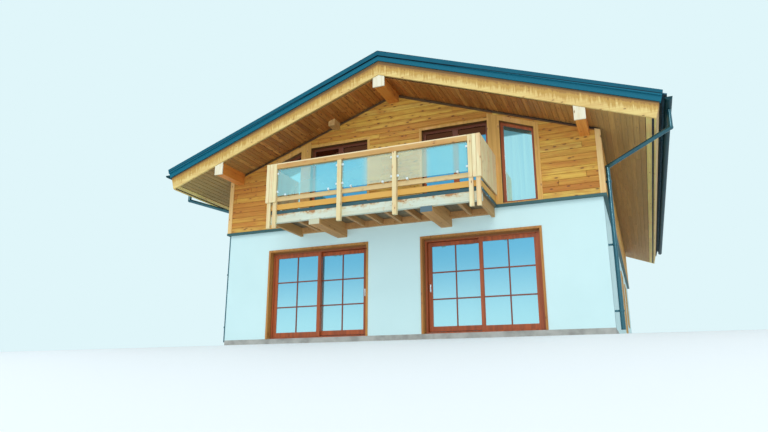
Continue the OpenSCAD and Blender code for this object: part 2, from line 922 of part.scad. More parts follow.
module right_door_frame() {
  door_frame(right_door_x);
}

// A leaf as a frame round its glass, from x0 to x1
module leaf_ring(x0, x1, y0, z0, z1) {
  along_y(y0, y0 + leaf_t) difference() {
    rect(x0, x1, z0, z1);
    rect(x0 + stile_w, x1 - stile_w, z0 + bottom_rail_h, z1 - stile_w);
  }
}

module leaf_pane(x0, x1, y0, z0, z1) {
  y = y0 + (leaf_t - glass_t) / 2;
  box(x0 + stile_w, x1 - stile_w, y, y + glass_t, z0 + bottom_rail_h, z1 - stile_w);
}

module left_fixed_leaf() {
  x0 = -left_door_x - frame_in;
  color(frame_red) leaf_ring(x0, x0 + leaf_w, outer_plane, leaf_foot, leaf_head);
}

module right_fixed_leaf() {
  x1 = right_door_x + frame_in;
  color(frame_red) leaf_ring(x1 - leaf_w, x1, outer_plane, leaf_foot, leaf_head);
}

module fixed_leaf_glass() {
  x0 = -left_door_x - frame_in;
  x1 = right_door_x + frame_in;
  color(glass_tint) {
    leaf_pane(x0, x0 + leaf_w, outer_plane, leaf_foot, leaf_head);
    leaf_pane(x1 - leaf_w, x1, outer_plane, leaf_foot, leaf_head);
  }
}

// A sliding leaf with the rollers that carry it on its track
module sliding_leaf(x0, x1) {
  color(frame_red) {
    leaf_ring(x0, x1, inner_plane, slide_low, slide_high);
    for (x = [x0 + stile_w * 2, x1 - stile_w * 2])
      translate([x, inner_plane + leaf_t / 2, leaf_foot + track_h + roller_gap + roller_r])
        rotate([90, 0, 0]) cylinder(r = roller_r, h = roller_w, center = true);
  }
}

// The handle stands on the closing stile, on the outer face
module slide_handle(x) {
  z = floor_top + handle_z;
  neck_w = grip_d / 2;
  color(steel) {
    box(x - plate_w / 2, x + plate_w / 2, inner_plane - plate_t, inner_plane,
      z - grip_h / 2, z + grip_h / 2);
    translate([x, inner_plane - grip_out, z - grip_h / 2]) cylinder(h = grip_h, d = grip_d);
    for (neck_z = [z - grip_h / 3, z + grip_h / 3])
      box(x - neck_w / 2, x + neck_w / 2, inner_plane - grip_out, inner_plane - plate_t,
        neck_z - grip_d / 2, neck_z + grip_d / 2);
  }
}

module left_sliding_leaf() {
  x1 = -left_door_x + frame_in - slide_clear;
  sliding_leaf(x1 + slide_clear - leaf_w, x1);
}

module left_sliding_glass() {
  x1 = -left_door_x + frame_in - slide_clear;
  color(glass_tint)
    leaf_pane(x1 + slide_clear - leaf_w, x1, inner_plane, slide_low, slide_high);
}

module left_door_handle() {
  slide_handle(-left_door_x + frame_in - slide_clear - stile_w / 2);
}

module right_sliding_leaf() {
  x0 = right_door_x - frame_in + slide_clear;
  sliding_leaf(x0, x0 - slide_clear + leaf_w);
}

module right_sliding_glass() {
  x0 = right_door_x - frame_in + slide_clear;
  color(glass_tint)
    leaf_pane(x0, x0 - slide_clear + leaf_w, inner_plane, slide_low, slide_high);
}

module right_door_handle() {
  slide_handle(right_door_x - frame_in + slide_clear + stile_w / 2);
}

// A plain boarded leaf in the frame of the side entrance
module entrance_door() {
  x = hw - sash_back - sash_d;
  color(frame_red) along_x(x, x + leaf_t) entrance_outline(-sash_w);
}

// Upright boards between an upper door and its gable window
module mullion_outline() {
  head = gable_casing_w / cos(roof_pitch) - gable_win_drop;
  both_slopes()
    polygon([[upper_door_out, clad_low], [gable_win_in, clad_low],
      [gable_win_in, soffit(gable_win_in) + head],
      [upper_door_out, soffit(upper_door_out) + head]]);
}

// Boards round the upper openings, on the face of the cladding
module upper_casings() {
  color(timber_pale) along_y(casing_y, -clad_y) difference() {
    intersection() {
      union() {
        upper_door_outline(casing_w);
        gable_window_outline(gable_casing_w);
        mullion_outline();
      }
      rect(-hw, hw, clad_low, ridge_soffit);
    }
    upper_door_outline();
    gable_window_outline();
  }
}

// Panes of an upper door stand on both sides of its middle post
module upper_door_panes() {
  difference() {
    upper_door_outline(-sash_w);
    both_slopes() rect(upper_door_mid - sash_w, upper_door_mid + sash_w, storey_line,
      upper_head + over);
  }
}

// Frames of the fixed upper doors and the gable windows
module upper_frames() {
  y0 = -clad_y + sash_back;
  color(frame_red) along_y(y0, y0 + sash_d) {
    difference() {
      upper_door_outline();
      upper_door_panes();
    }
    difference() {
      gable_window_outline();
      gable_window_outline(-sash_w);
    }
  }
}

// Boards round the side and rear openings
module window_casings() {
  color(timber) {
    both_sides() along_x(hw, hw + casing_t) difference() {
      side_windows_outline(casing_w);
      side_windows_outline();
    }
    along_x(hw, hw + casing_t) difference() {
      entrance_outline(casing_w);
      entrance_outline();
    }
    along_y(hd, hd + casing_t) difference() {
      rear_lower_outline(casing_w);
      rear_lower_outline();
    }
    along_y(clad_y, clad_y + casing_t) difference() {
      rear_upper_outline(casing_w);
      rear_upper_outline();
    }
  }
}

// Frames of the side and rear windows and of the side entrance
module window_frames() {
  inner_x = hw - sash_back;
  inner_y = hd - sash_back;
  upper_y = clad_y - sash_back;
  color(frame_red) {
    both_sides() along_x(inner_x - sash_d, inner_x) difference() {
      side_windows_outline();
      side_windows_outline(-sash_w);
    }
    along_x(inner_x - sash_d, inner_x) difference() {
      entrance_outline();
      entrance_outline(-sash_w);
    }
    along_y(inner_y - sash_d, inner_y) difference() {
      rear_lower_outline();
      rear_lower_outline(-sash_w);
    }
    along_y(upper_y - sash_d, upper_y) difference() {
      rear_upper_outline();
      rear_upper_outline(-sash_w);
    }
  }
}

// Panes of all windows and of the upper doors, in the middle of their frames
module window_glass() {
  inset = (sash_d - glass_t) / 2;
  front_y = -clad_y + sash_back + inset;
  inner_x = hw - sash_back - inset;
  inner_y = hd - sash_back - inset;
  upper_y = clad_y - sash_back - inset;
  color(glass_tint) {
    along_y(front_y, front_y + glass_t) {
      upper_door_panes();
      gable_window_outline(-sash_w);
    }
    both_sides() along_x(inner_x - glass_t, inner_x) side_windows_outline(-sash_w);
    along_y(inner_y - glass_t, inner_y) rear_lower_outline(-sash_w);
    along_y(upper_y - glass_t, upper_y) rear_upper_outline(-sash_w);
  }
}

// The beams pass through the wall and are notched at the front to carry the edge beam
module cantilever_beams() {
  color(timber) for (x = cantilevers) difference() {
    box(x - cantilever_w / 2, x + cantilever_w / 2, edge_face, -hd + wall_t,
      cantilever_low, deck_low);
    box(x - cantilever_w, x + cantilever_w, edge_face - over, edge_back, edge_beam_low,
      deck_low + over);
  }
}

// Joists fill the bays between the side beams and the cantilever beams. A board along the
// wall carries them in each bay.
module balcony_joists() {
  half = cantilever_w / 2;
  bays = [[-balcony_left + side_beam_inner, -cantilever_left - half],
    [-cantilever_left + half, cantilever_right - half],
    [cantilever_right + half, balcony_right - side_beam_inner]];
  color(timber_dark) for (bay = bays) {
    box(bay[0], bay[1], ledger_y, -hd, deck_low - ledger_h, deck_low);
    for (x = spread(bay[0], bay[1], joist_pitch))
      box(x - joist_w / 2, x + joist_w / 2, edge_back, ledger_y + over,
        deck_low - joist_h, deck_low);
  }
}

module balcony_edge_beams() {
  side_x = panel_t + side_beam_in;
  color(timber_pale) {
    box(-balcony_left + panel_t, balcony_right - panel_t, edge_face, edge_back,
      edge_beam_low, deck_low);
    for (x = [-balcony_left + side_x, balcony_right - side_x - side_beam_t])
      box(x, x + side_beam_t, edge_back - over, -hd, edge_beam_low, deck_low);
  }
}

module balcony_floor() {
  color(timber_dark)
    box(-balcony_left + panel_t, balcony_right - panel_t, edge_face, -flash_y,
      deck_low, deck_top);
}

// A folded metal strip covers the front and side edges of the floor, and plates cap the
// ends of the cantilever beams
module balcony_metal() {
  t = deck_metal_t;
  low = deck_low - deck_metal_lip;
  high = deck_top + t;
  color(metal_teal) {
    difference() {
      box(-balcony_left + panel_t - t, balcony_right - panel_t + t, edge_face - t, -flash_y,
        low, high);
      box(-balcony_left + panel_t, balcony_right - panel_t, edge_face, -flash_y + over,
        low - over, deck_top);
      box(-balcony_left + edge_beam_t, balcony_right - edge_beam_t, edge_back,
        -flash_y + over, low - over, high + over);
      for (x = middle_posts)
        box(x - post_w / 2, x + post_w / 2, edge_face - t - over, edge_face, low - over,
          high + over);
      for (x = corner_posts())
        box(x - small_post_w / 2, x + small_post_w / 2, edge_face - t - over, edge_face,
          low - over, high + over);
    }
    for (x = cantilevers)
      box(x - cantilever_w / 2, x + cantilever_w / 2, edge_face - t, edge_face,
        cantilever_low, edge_beam_low);
  }
}

module balcony_posts() {
  color(timber_pale) {
    for (x = middle_posts)
      box(x - post_w / 2, x + post_w / 2, front_face, edge_face, post_low, rail_under);
    for (x = corner_posts())
      box(x - small_post_w / 2, x + small_post_w / 2, front_face + panel_t, edge_face,
        post_low, rail_under);
  }
}

// The handrail lies on the posts. The glass rail and the toe rail run behind the posts,
// and on both sides back to the wall.
module balcony_rails() {
  left = -balcony_left + panel_t;
  right = balcony_right - panel_t;
  color(timber_pale) {
    box(-balcony_left + corner_w, balcony_right - corner_w, front_face,
      front_face + handrail_d, rail_under, rail_top);
    for (level = [[glass_rail_low, glass_rail_top], [toe_rail_low, toe_rail_low + toe_rail_h]])
      difference() {
        box(left, right, edge_face, casing_y, level[0], level[1]);
        box(left + lower_rail_t, right - lower_rail_t, edge_face + lower_rail_t,
          casing_y + over, level[0] - over, level[1] + over);
      }
  }
}

// Boarded panels close the front corners and both sides up to the wall
module balcony_panels() {
  foot = glass_rail_low - panel_drop;
  color(timber_pale) {
    for (x = [-balcony_left, balcony_right - corner_w])
      box(x, x + corner_w, front_face, front_face + panel_t, foot, rail_top);
    for (x = [-balcony_left, balcony_right - panel_t])
      box(x, x + panel_t, front_face, casing_y, foot, rail_top);
  }
}

module balcony_panes() {
  for (bay = glass_bays())
    box(bay[0], bay[1], glass_y - balcony_glass_t / 2, glass_y + balcony_glass_t / 2,
      glass_rail_top + balcony_glass_air, rail_under - balcony_glass_air);
}

module balcony_glass() {
  color(glass_tint) balcony_panes();
}

// Clips hold each pane to the posts beside it, and brackets on the glass rail carry it
module glass_clips() {
  y0 = glass_y - clip_d / 2;
  y1 = glass_y + clip_d / 2;
  reach = balcony_glass_gap + clip_grip;
  color(steel) difference() {
    for (bay = glass_bays()) {
      for (x = [bay[0] - balcony_glass_gap, bay[1] + balcony_glass_gap - reach],
          z = [glass_rail_top + clip_end, rail_under - clip_end - clip_h])
        box(x, x + reach, y0, y1, z, z + clip_h);
      for (x = [bay[0] + bracket_in, bay[1] - bracket_in - bracket_w]) {
        box(x, x + bracket_w, y0, y1, glass_rail_top, glass_rail_top + clip_h);
        box(x, x + bracket_w, y0, edge_face + lower_rail_t, glass_rail_top,
          glass_rail_top + bracket_t);
      }
    }
    balcony_panes();
  }
}

ground_slab();
front_wall_left();
front_wall_middle();
front_wall_right();
front_wall_lintel();
left_wall();
right_wall();
rear_wall();
upper_floor();
front_gable_wall();
rear_gable_wall();
left_upper_wall();
right_upper_wall();
storey_flashing();
corner_boards();
roof_left();
roof_right();
roof_metal_left();
roof_metal_right();
ridge_cap();
verge_trim();
eave_flashing();
eave_boards();
barge_boards();
ridge_purlin();
eave_purlins();
short_purlin();
purlin_caps();
gutter_left();
gutter_right();
downpipe_left();
downpipe_right();
door_linings();
left_door_frame();
right_door_frame();
left_fixed_leaf();
right_fixed_leaf();
fixed_leaf_glass();
left_sliding_leaf();
left_sliding_glass();
left_door_handle();
right_sliding_leaf();
right_sliding_glass();
right_door_handle();
entrance_door();
upper_casings();
upper_frames();
window_casings();
window_frames();
window_glass();
cantilever_beams();
balcony_joists();
balcony_edge_beams();
balcony_floor();
balcony_metal();
balcony_posts();
balcony_rails();
balcony_panels();
balcony_glass();
glass_clips();
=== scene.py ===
import json
import math

import bmesh
import bpy
import numpy as np
from mathutils import Matrix, Vector


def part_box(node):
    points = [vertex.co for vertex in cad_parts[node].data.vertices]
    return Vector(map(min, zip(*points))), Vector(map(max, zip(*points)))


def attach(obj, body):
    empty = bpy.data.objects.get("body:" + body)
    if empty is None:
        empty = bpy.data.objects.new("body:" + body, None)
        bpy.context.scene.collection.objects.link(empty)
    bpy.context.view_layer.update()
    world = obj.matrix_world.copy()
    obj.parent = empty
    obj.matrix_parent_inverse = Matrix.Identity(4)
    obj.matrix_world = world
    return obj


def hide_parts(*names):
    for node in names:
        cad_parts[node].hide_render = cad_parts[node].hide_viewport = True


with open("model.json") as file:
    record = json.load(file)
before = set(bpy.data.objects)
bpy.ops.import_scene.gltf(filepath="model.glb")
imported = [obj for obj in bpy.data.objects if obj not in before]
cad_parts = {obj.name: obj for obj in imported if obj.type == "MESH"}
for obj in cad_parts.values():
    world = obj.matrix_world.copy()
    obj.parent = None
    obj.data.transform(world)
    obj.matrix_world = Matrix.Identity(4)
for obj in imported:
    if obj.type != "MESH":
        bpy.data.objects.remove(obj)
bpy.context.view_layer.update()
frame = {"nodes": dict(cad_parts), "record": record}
nodes = frame["nodes"]
record = frame["record"]
bodyOf = {node: body for body, group in record["behaviour"]["bodies"].items() for node in group}
scene = bpy.context.scene
scene.view_settings.view_transform = "Standard"
print("frame loaded:", len(nodes), "nodes")

# The camera stands below the house, to the right of its middle, and looks up at it
cameraView = {
    "imageWidth": 768,
    "focalPixels": 622.0,
    "sensorWidth": 36.0,
    "tiltUp": 15.31,
    "turnLeft": 22.61,
    "place": (5.141, -19.837, -0.951),
    "farthest": 400.0,
}
lens = bpy.data.cameras.new("camera")
lens.sensor_width = cameraView["sensorWidth"]
lens.lens = cameraView["sensorWidth"] * cameraView["focalPixels"] / cameraView["imageWidth"]
lens.clip_end = cameraView["farthest"]
camera = bpy.data.objects.new("camera", lens)
camera.location = cameraView["place"]
camera.rotation_euler = (
    math.radians(90 + cameraView["tiltUp"]), 0, math.radians(cameraView["turnLeft"]))
scene.collection.objects.link(camera)
scene.camera = camera


# All corners of a frame node, one row each
def nodeCorners(node):
    mesh = nodes[node].data
    flat = np.zeros(len(mesh.vertices) * 3, np.float32)
    mesh.vertices.foreach_get("co", flat)
    return flat.reshape(-1, 3)


# Sorted places of a node's corners on one axis, to a tenth of a millimetre
def nodeLevels(node, axis):
    return [float(v) for v in np.unique(nodeCorners(node)[:, axis].round(4))]


# The roof's pitch and the soffit's peak, read from the walls and the deck
seatGap = 0.0003
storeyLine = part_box("upper_floor")[1].z
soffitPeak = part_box("front_gable_wall")[1].z + seatGap
deckCorners = nodeCorners("roof_right")
deckFoot = deckCorners[deckCorners[:, 2].argmin()]
roofSlope = (soffitPeak - float(deckFoot[2])) / float(deckFoot[0])
roofPitch = math.atan(roofSlope)
print("roof pitch", round(math.degrees(roofPitch), 2))


# Colours are plain sRGB numbers from 0 to 255, as a painter would read them. Nodes take them
# as linear light with full cover.
def paint(colour):
    share = np.array(colour) / 255
    linear = np.where(share <= 0.04045, share / 12.92, ((share + 0.055) / 1.055) ** 2.4)
    return (*linear.tolist(), 1.0)


# A wrapped socket of a material: sums and products of wires add the Math nodes they need
class Wire:
    def __init__(self, tree, socket=None):
        self.tree = tree
        self.socket = socket

    # Any node: its settings are set first, then the values or wires of its inputs. Three
    # numbers for a colour are painted, and four go in as they are.
    def node(self, kind, settings, inputs, out=0):
        made = self.tree.nodes.new(kind)
        for name, value in settings.items():
            if name == "stops":
                ramp = made.color_ramp.elements
                while len(ramp) < len(value):
                    ramp.new(0.5)
                for stop, (place, colour) in zip(ramp, value):
                    stop.position = place
                    stop.color = paint(colour)
            else:
                setattr(made, name, value)
        for name, value in inputs.items():
            target = made.inputs[name]
            if isinstance(value, Wire):
                self.tree.links.new(value.socket, target)
            elif target.type == "RGBA" and len(value) == 3:
                target.default_value = paint(value)
            else:
                target.default_value = value
        return Wire(self.tree, made.outputs[out] if made.outputs else None)

    def most(self, other):
        return self.maths("MAXIMUM", self, other)

    def maths(self, operation, first, second=0.0):
        return self.node("ShaderNodeMath", {"operation": operation}, {0: first, 1: second})

    def __add__(self, other):
        return self.maths("ADD", self, other)

    __radd__ = __add__

    def __mul__(self, other):
        return self.maths("MULTIPLY", self, other)

    __rmul__ = __mul__

    def __sub__(self, other):
        return self.maths("SUBTRACT", self, other)

    def __rsub__(self, other):
        return self.maths("SUBTRACT", other, self)

    def size(self):
        return self.maths("ABSOLUTE", self)

    # From one range of values to another, with soft ends
    def ease(self, fromLow, fromHigh, toLow=0.0, toHigh=1.0):
        return self.node(
            "ShaderNodeMapRange", {"interpolation_type": "SMOOTHSTEP"},
            {"Value": self, "From Min": fromLow, "From Max": fromHigh,
             "To Min": toLow, "To Max": toHigh})

    # One inside a band of values and nothing outside it, with soft ends
    def band(self, low, high, soft):
        return self.ease(low - soft, low) * self.ease(high, high + soft, 1.0, 0.0)

    # This wire as the share of the second colour in a mix with the first
    def mix(self, first, second):
        return self.node(
            "ShaderNodeMix", {"data_type": "RGBA"}, {0: self, 6: first, 7: second}, out=2)

    def ramp(self, stops):
        return self.node("ShaderNodeValToRGB", {"stops": stops}, {"Fac": self})

    def shift(self, offset):
        return self.node("ShaderNodeVectorMath", {"operation": "ADD"}, {0: self, 1: offset})

    def stretch(self, factors):
        return self.node("ShaderNodeVectorMath", {"operation": "MULTIPLY"}, {0: self, 1: factors})

    def noise(self, factors, detail, roughness):
        return self.stretch(factors).noiseAt(1.0, detail, roughness)

    def noiseAt(self, scale, detail, roughness):
        return self.node(
            "ShaderNodeTexNoise", {},
            {"Vector": self, "Scale": scale, "Detail": detail, "Roughness": roughness})

    def axis(self, index):
        return self.node("ShaderNodeSeparateXYZ", {}, {0: self}, out=index)

    # This wire as the height of a relief, a given distance deep
    def bump(self, strength, distance):
        return self.node(
            "ShaderNodeBump", {},
            {"Strength": strength, "Distance": distance, "Height": self})


def newMaterial(name):
    material = bpy.data.materials.new(name)
    material.use_nodes = True
    tree = material.node_tree
    tree.nodes.clear()
    start = Wire(tree)
    return material, start, start.node("ShaderNodeTexCoord", {}, {}, out="Object")


def finishMaterial(start, settings):
    surface = start.node("ShaderNodeBsdfPrincipled", {}, settings)
    start.node("ShaderNodeOutputMaterial", {}, {"Surface": surface})


def tones(*colours):
    return [(i / (len(colours) - 1), colour) for i, colour in enumerate(colours)]


# Upright height above the line of the soffit
def aboveSoffit(place):
    return place.axis(2) + place.axis(0).size() * roofSlope - soffitPeak


# One on the front half of the house and nothing on its rear half
def frontHalf(place, soft=1.0):
    return place.axis(1).ease(-soft, soft, 1.0, 0.0)


# One on the upper storey and nothing below it
def upperStorey(place, soft=0.05):
    return place.axis(2).ease(storeyLine, storeyLine + soft)


# Barge boards: a brown band of painted shadow on top, drips and an orange stain below it, a pale
# lower half
bargeStainsAndShade = {
    "drips": ((26.0, 1.0, 2.2), 3.0, 0.6), "blotches": ((2.2, 1.0, 4.0), 3.0, 0.6),
    "orange": (188, 144, 62), "orangeHeights": (0.42, 0.54), "orangeShare": 0.9,
    "orangeByDrips": 0.5, "orangeByBlotches": 0.16,
    "drip": (150, 104, 46), "dripHeights": (0.33, 0.38), "dripShare": 0.8, "dripRun": 0.2,
    "brown": (104, 74, 38), "vergeShadowHeights": (0.29, 0.32), "vergeShadowShare": 0.85,
}


def bargeStainAndShade(place, colour):
    look = bargeStainsAndShade
    height = aboveSoffit(place)
    drips = place.noise(*look["drips"])
    blotches = place.noise(*look["blotches"])
    stained = height + drips * look["orangeByDrips"] + blotches * look["orangeByBlotches"]
    stained = stained.ease(*look["orangeHeights"])
    colour = (stained * look["orangeShare"]).mix(colour, look["orange"])
    dripping = (height + drips * look["dripRun"]).ease(*look["dripHeights"])
    colour = (dripping * look["dripShare"]).mix(colour, look["drip"])
    # The brown band on top is painted shadow, cast by the verge
    return height.ease(*look["vergeShadowHeights"], 0.0, look["vergeShadowShare"]).mix(colour, look["brown"])


# Edge beam: whitish in front with rusty stains that run down from its top, ochre behind
edgeStains = {
    "ochre": (190, 146, 88), "ochreDepth": 0.1, "ochreSoft": 0.03,
    "wet": ((4.2, 2.0, 6.0), 4.0, 0.7), "wetFromTop": 0.15, "wetAtTop": 0.26,
    "flecks": ((12.0, 4.0, 16.0), 3.0, 0.7), "fleckRange": (0.58, 0.7), "fleckShare": 0.5,
    "halo": (196, 168, 118), "haloRange": (0.58, 0.74), "haloShare": 0.6,
    "rust": (166, 108, 52), "rustRange": (0.72, 0.80), "rustShare": 0.85,
}


def edgeStain(place, colour):
    look = edgeStains
    low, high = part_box("balcony_edge_beams")
    back = low.y + look["ochreDepth"]
    behind = place.axis(1).ease(back, back + look["ochreSoft"])
    inFront = 1.0 - behind
    colour = behind.mix(colour, look["ochre"])
    near = place.axis(2).ease(high.z - look["wetFromTop"], high.z) * look["wetAtTop"]
    wet = place.noise(*look["wet"]) + near
    flecked = place.noise(*look["flecks"]).ease(*look["fleckRange"]) * look["fleckShare"]
    halo = wet.ease(*look["haloRange"]) * look["haloShare"] + flecked
    colour = (halo * inFront).mix(colour, look["halo"])
    return (wet.ease(*look["rustRange"]) * inFront * look["rustShare"]).mix(colour, look["rust"])


# Soffit: orange-brown over the gable, duller and lighter out to both eaves
soffitStains = {
    "right": {"colour": (166, 144, 86), "out": (2.6, 5.4), "share": 0.6},
    "left": {"colour": (150, 138, 82), "out": (-3.0, -5.2), "share": 0.7},
}


def soffitStain(place, colour):
    for look in soffitStains.values():
        colour = (place.axis(0).ease(*look["out"]) * look["share"]).mix(colour, look["colour"])
    return colour


# Painted deep shade lies on the underside of the roof deck, which shows in the vent slot between
# the eave boards, and in the open joint under the soffit. Just below that joint the cladding carries
# painted shade, and it is redder to the left.
shades = {
    "slot": (24, 30, 46), "slotHeights": (0.002, 0.004),
    "joint": (16, 12, 10), "jointHeights": (-0.09, -0.07),
    "below": (52, 34, 22), "belowHeights": (-0.095, -0.07), "belowShare": 0.9,
    "red": (170, 96, 36), "redOut": (-1.5, -4.0), "redShare": 0.3,
}


def shadeSlot(place, colour):
    return aboveSoffit(place).ease(*shades["slotHeights"], 1.0, 0.0).mix(colour, shades["slot"])


def shadeJoint(place, colour):
    return aboveSoffit(place).ease(*shades["jointHeights"]).mix(colour, shades["joint"])


def shadeCladding(place, colour):
    look = shades
    colour = (place.axis(0).ease(*look["redOut"]) * look["redShare"]).mix(colour, look["red"])
    # Painted shade on the cladding just below the open joint
    below = aboveSoffit(place).ease(*look["belowHeights"], 0.0, look["belowShare"])
    return below.mix(colour, look["below"])


# Toe rail golden, glass rail pale with brown spots, handrail brown with a light upper edge
railStains = {
    "toe": (220, 166, 68), "toeShare": 0.7,
    "pale": (218, 192, 138), "paleShare": 0.8, "paleSoft": 0.01,
    "spot": (150, 108, 62), "spots": ((7.0, 7.0, 14.0), 3.0, 0.6),
    "spotRange": (0.58, 0.7), "spotShare": 0.4,
    "edge": (240, 220, 176), "edgeDrop": (0.03, 0.022), "edgeShare": 0.9,
}


def railStain(place, colour):
    look = railStains
    levels = nodeLevels("balcony_rails", 2)
    toeTop, paleFoot, paleTop = levels[1:4]
    handrailTop = levels[5]
    height = place.axis(2)
    spots = place.noise(*look["spots"]).ease(*look["spotRange"]) * look["spotShare"]
    pale = spots.mix(look["pale"], look["spot"])
    toe = height.ease(toeTop, paleFoot, 1.0, 0.0)
    colour = (toe * look["toeShare"]).mix(colour, look["toe"])
    middle = height.band(paleFoot, paleTop, look["paleSoft"])
    colour = (middle * look["paleShare"]).mix(colour, pale)
    edge = height.ease(*[handrailTop - drop for drop in look["edgeDrop"]])
    return (edge * look["edgeShare"]).mix(colour, look["edge"])


# A brown band of painted shade on the head and left jamb of the terrace doors' frames, as in a deeper
# recess
frameRecessShades = {"brown": (124, 78, 34), "share": 0.9, "head": 0.048, "headSoft": 0.003,
                "jambOut": 0.01, "jambIn": 0.028, "jambSoft": 0.002}


def frameRecessShade(place, colour):
    look = frameRecessShades
    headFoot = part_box("left_door_frame")[1].z - look["head"]
    recessShade = place.axis(2).ease(headFoot, headFoot + look["headSoft"])
    for node in ("left_door_frame", "right_door_frame"):
        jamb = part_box(node)[0].x
        side = place.axis(0).band(jamb - look["jambOut"], jamb + look["jambIn"], look["jambSoft"])
        recessShade = recessShade.most(side)
    # The brown band is painted shade of a deeper recess
    return (recessShade * look["share"]).mix(colour, look["brown"])


# Upper doors stand deep under the roof, so their heads are dark
upperShades = {"dark": (112, 54, 26), "drop": (0.26, 0.2), "doorReach": (2.35, 2.4)}


def upperShade(place, colour):
    look = upperShades
    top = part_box("upper_frames")[1].z
    doors = place.axis(0).ease(*look["doorReach"], 1.0, 0.0)
    heads = place.axis(2).ease(*[top - drop for drop in look["drop"]])
    return (doors * heads).mix(colour, look["dark"])


# Planed softwood. Grain runs along the object's X after the turn. Every board carries a
# random number that picks its tone and moves its grain and knots.
grainLook = {
    "fine": ((1.6, 70.0, 70.0), 4.0, 0.6), "rings": ((0.5, 16.0, 16.0), 3.0, 0.55),
    "patches": ((0.8, 2.0, 2.0), 3.0, 0.6), "fineShare": 0.4, "ringShare": 0.6,
    "lineRange": (0.38, 0.62), "patchRange": (0.48, 0.68), "boardShift": (37.0, 11.0, 5.0),
    "knotScatter": 0.95, "knotCore": 0.6, "haloWidth": 3.0, "haloShare": 0.4,
    "roughRange": (0.3, 0.7), "smoother": 0.08, "rougher": 0.1,
    "fineRelief": 0.6, "knotRelief": 0.4, "bump": (0.35, 0.003),
}


def woodMaterial(name, look):
    grain = grainLook
    material, start, place = newMaterial(name)
    turned = start.node("ShaderNodeMapping", {}, {"Vector": place, "Rotation": look["turn"]})
    seed = start.node("ShaderNodeAttribute", {"attribute_name": "board"}, {}, out="Fac")
    move = start.node("ShaderNodeCombineXYZ", {}, {
        axis: seed * length for axis, length in enumerate(grain["boardShift"])})
    grainPlace = turned.shift(move)
    fine, rings, patches = [
        grainPlace.noise(*grain[pattern]) for pattern in ("fine", "rings", "patches")]
    lines = (fine * grain["fineShare"] + rings * grain["ringShare"]).ease(*grain["lineRange"])
    colour = (lines * look["grainShare"]).mix(seed.ramp(look["tones"]), look["grain"])
    patched = patches.ease(*grain["patchRange"], 0.0, look["patchShare"])
    colour = patched.mix(colour, look["patch"])
    knotPlace = grainPlace.stretch((look["knotsAlong"], look["knotsAcross"], look["knotsAcross"]))
    knotAway = start.node(
        "ShaderNodeTexVoronoi", {"feature": "F1"},
        {"Vector": knotPlace, "Scale": 1.0, "Randomness": grain["knotScatter"]}, out="Distance")
    knotSize = look["knotSize"]
    halo = knotAway.ease(knotSize, knotSize * grain["haloWidth"], 1.0, 0.0)
    knot = knotAway.ease(knotSize * grain["knotCore"], knotSize, 1.0, 0.0)
    colour = (halo * look["knotShare"] * grain["haloShare"]).mix(colour, look["patch"])
    colour = (knot * look["knotShare"]).mix(colour, look["knot"])
    # Each look's stains and painted shade
    if look["stainAndShade"]:
        colour = look["stainAndShade"](place, colour)
    smooth = look["rough"] - grain["smoother"]
    rough = look["rough"] + grain["rougher"]
    relief = fine * grain["fineRelief"] - knot * grain["knotRelief"]
    finishMaterial(start, {
        "Base Color": colour, "Roughness": fine.ease(*grain["roughRange"], smooth, rough),
        "Normal": relief.bump(*grain["bump"])})
    return material


quarter = math.pi / 2
upright = (0, quarter, 0)
lengthwise = (0, 0, quarter)
plainWood = {
    "turn": (0, 0, 0), "tones": tones((236, 226, 180), (232, 218, 168), (226, 208, 154)),
    "grain": (204, 164, 108), "grainShare": 0.45,
    "patch": (226, 168, 112), "patchShare": 0.45,
    "knotsAlong": 4.0, "knotsAcross": 11.0, "knotSize": 0.14, "knotShare": 0.8,
    "knot": (104, 62, 30), "rough": 0.62, "stainAndShade": None,
}
goldenWood = {
    "tones": tones((232, 198, 92), (222, 174, 66), (204, 142, 46), (228, 184, 76), (196, 128, 38)),
    "grain": (158, 96, 28), "grainShare": 0.62, "patch": (190, 110, 34),
    "patchShare": 0.5, "knotsAlong": 4.5, "knotsAcross": 12.0, "knotSize": 0.22,
    "knot": (84, 42, 14), "stainAndShade": shadeCladding,
}
redPaint = {
    "turn": upright, "tones": tones((182, 88, 36), (168, 80, 34)), "grain": (112, 50, 22),
    "grainShare": 0.6, "patch": (150, 70, 30), "patchShare": 0.3, "knotShare": 0.0,
    "rough": 0.42,
}
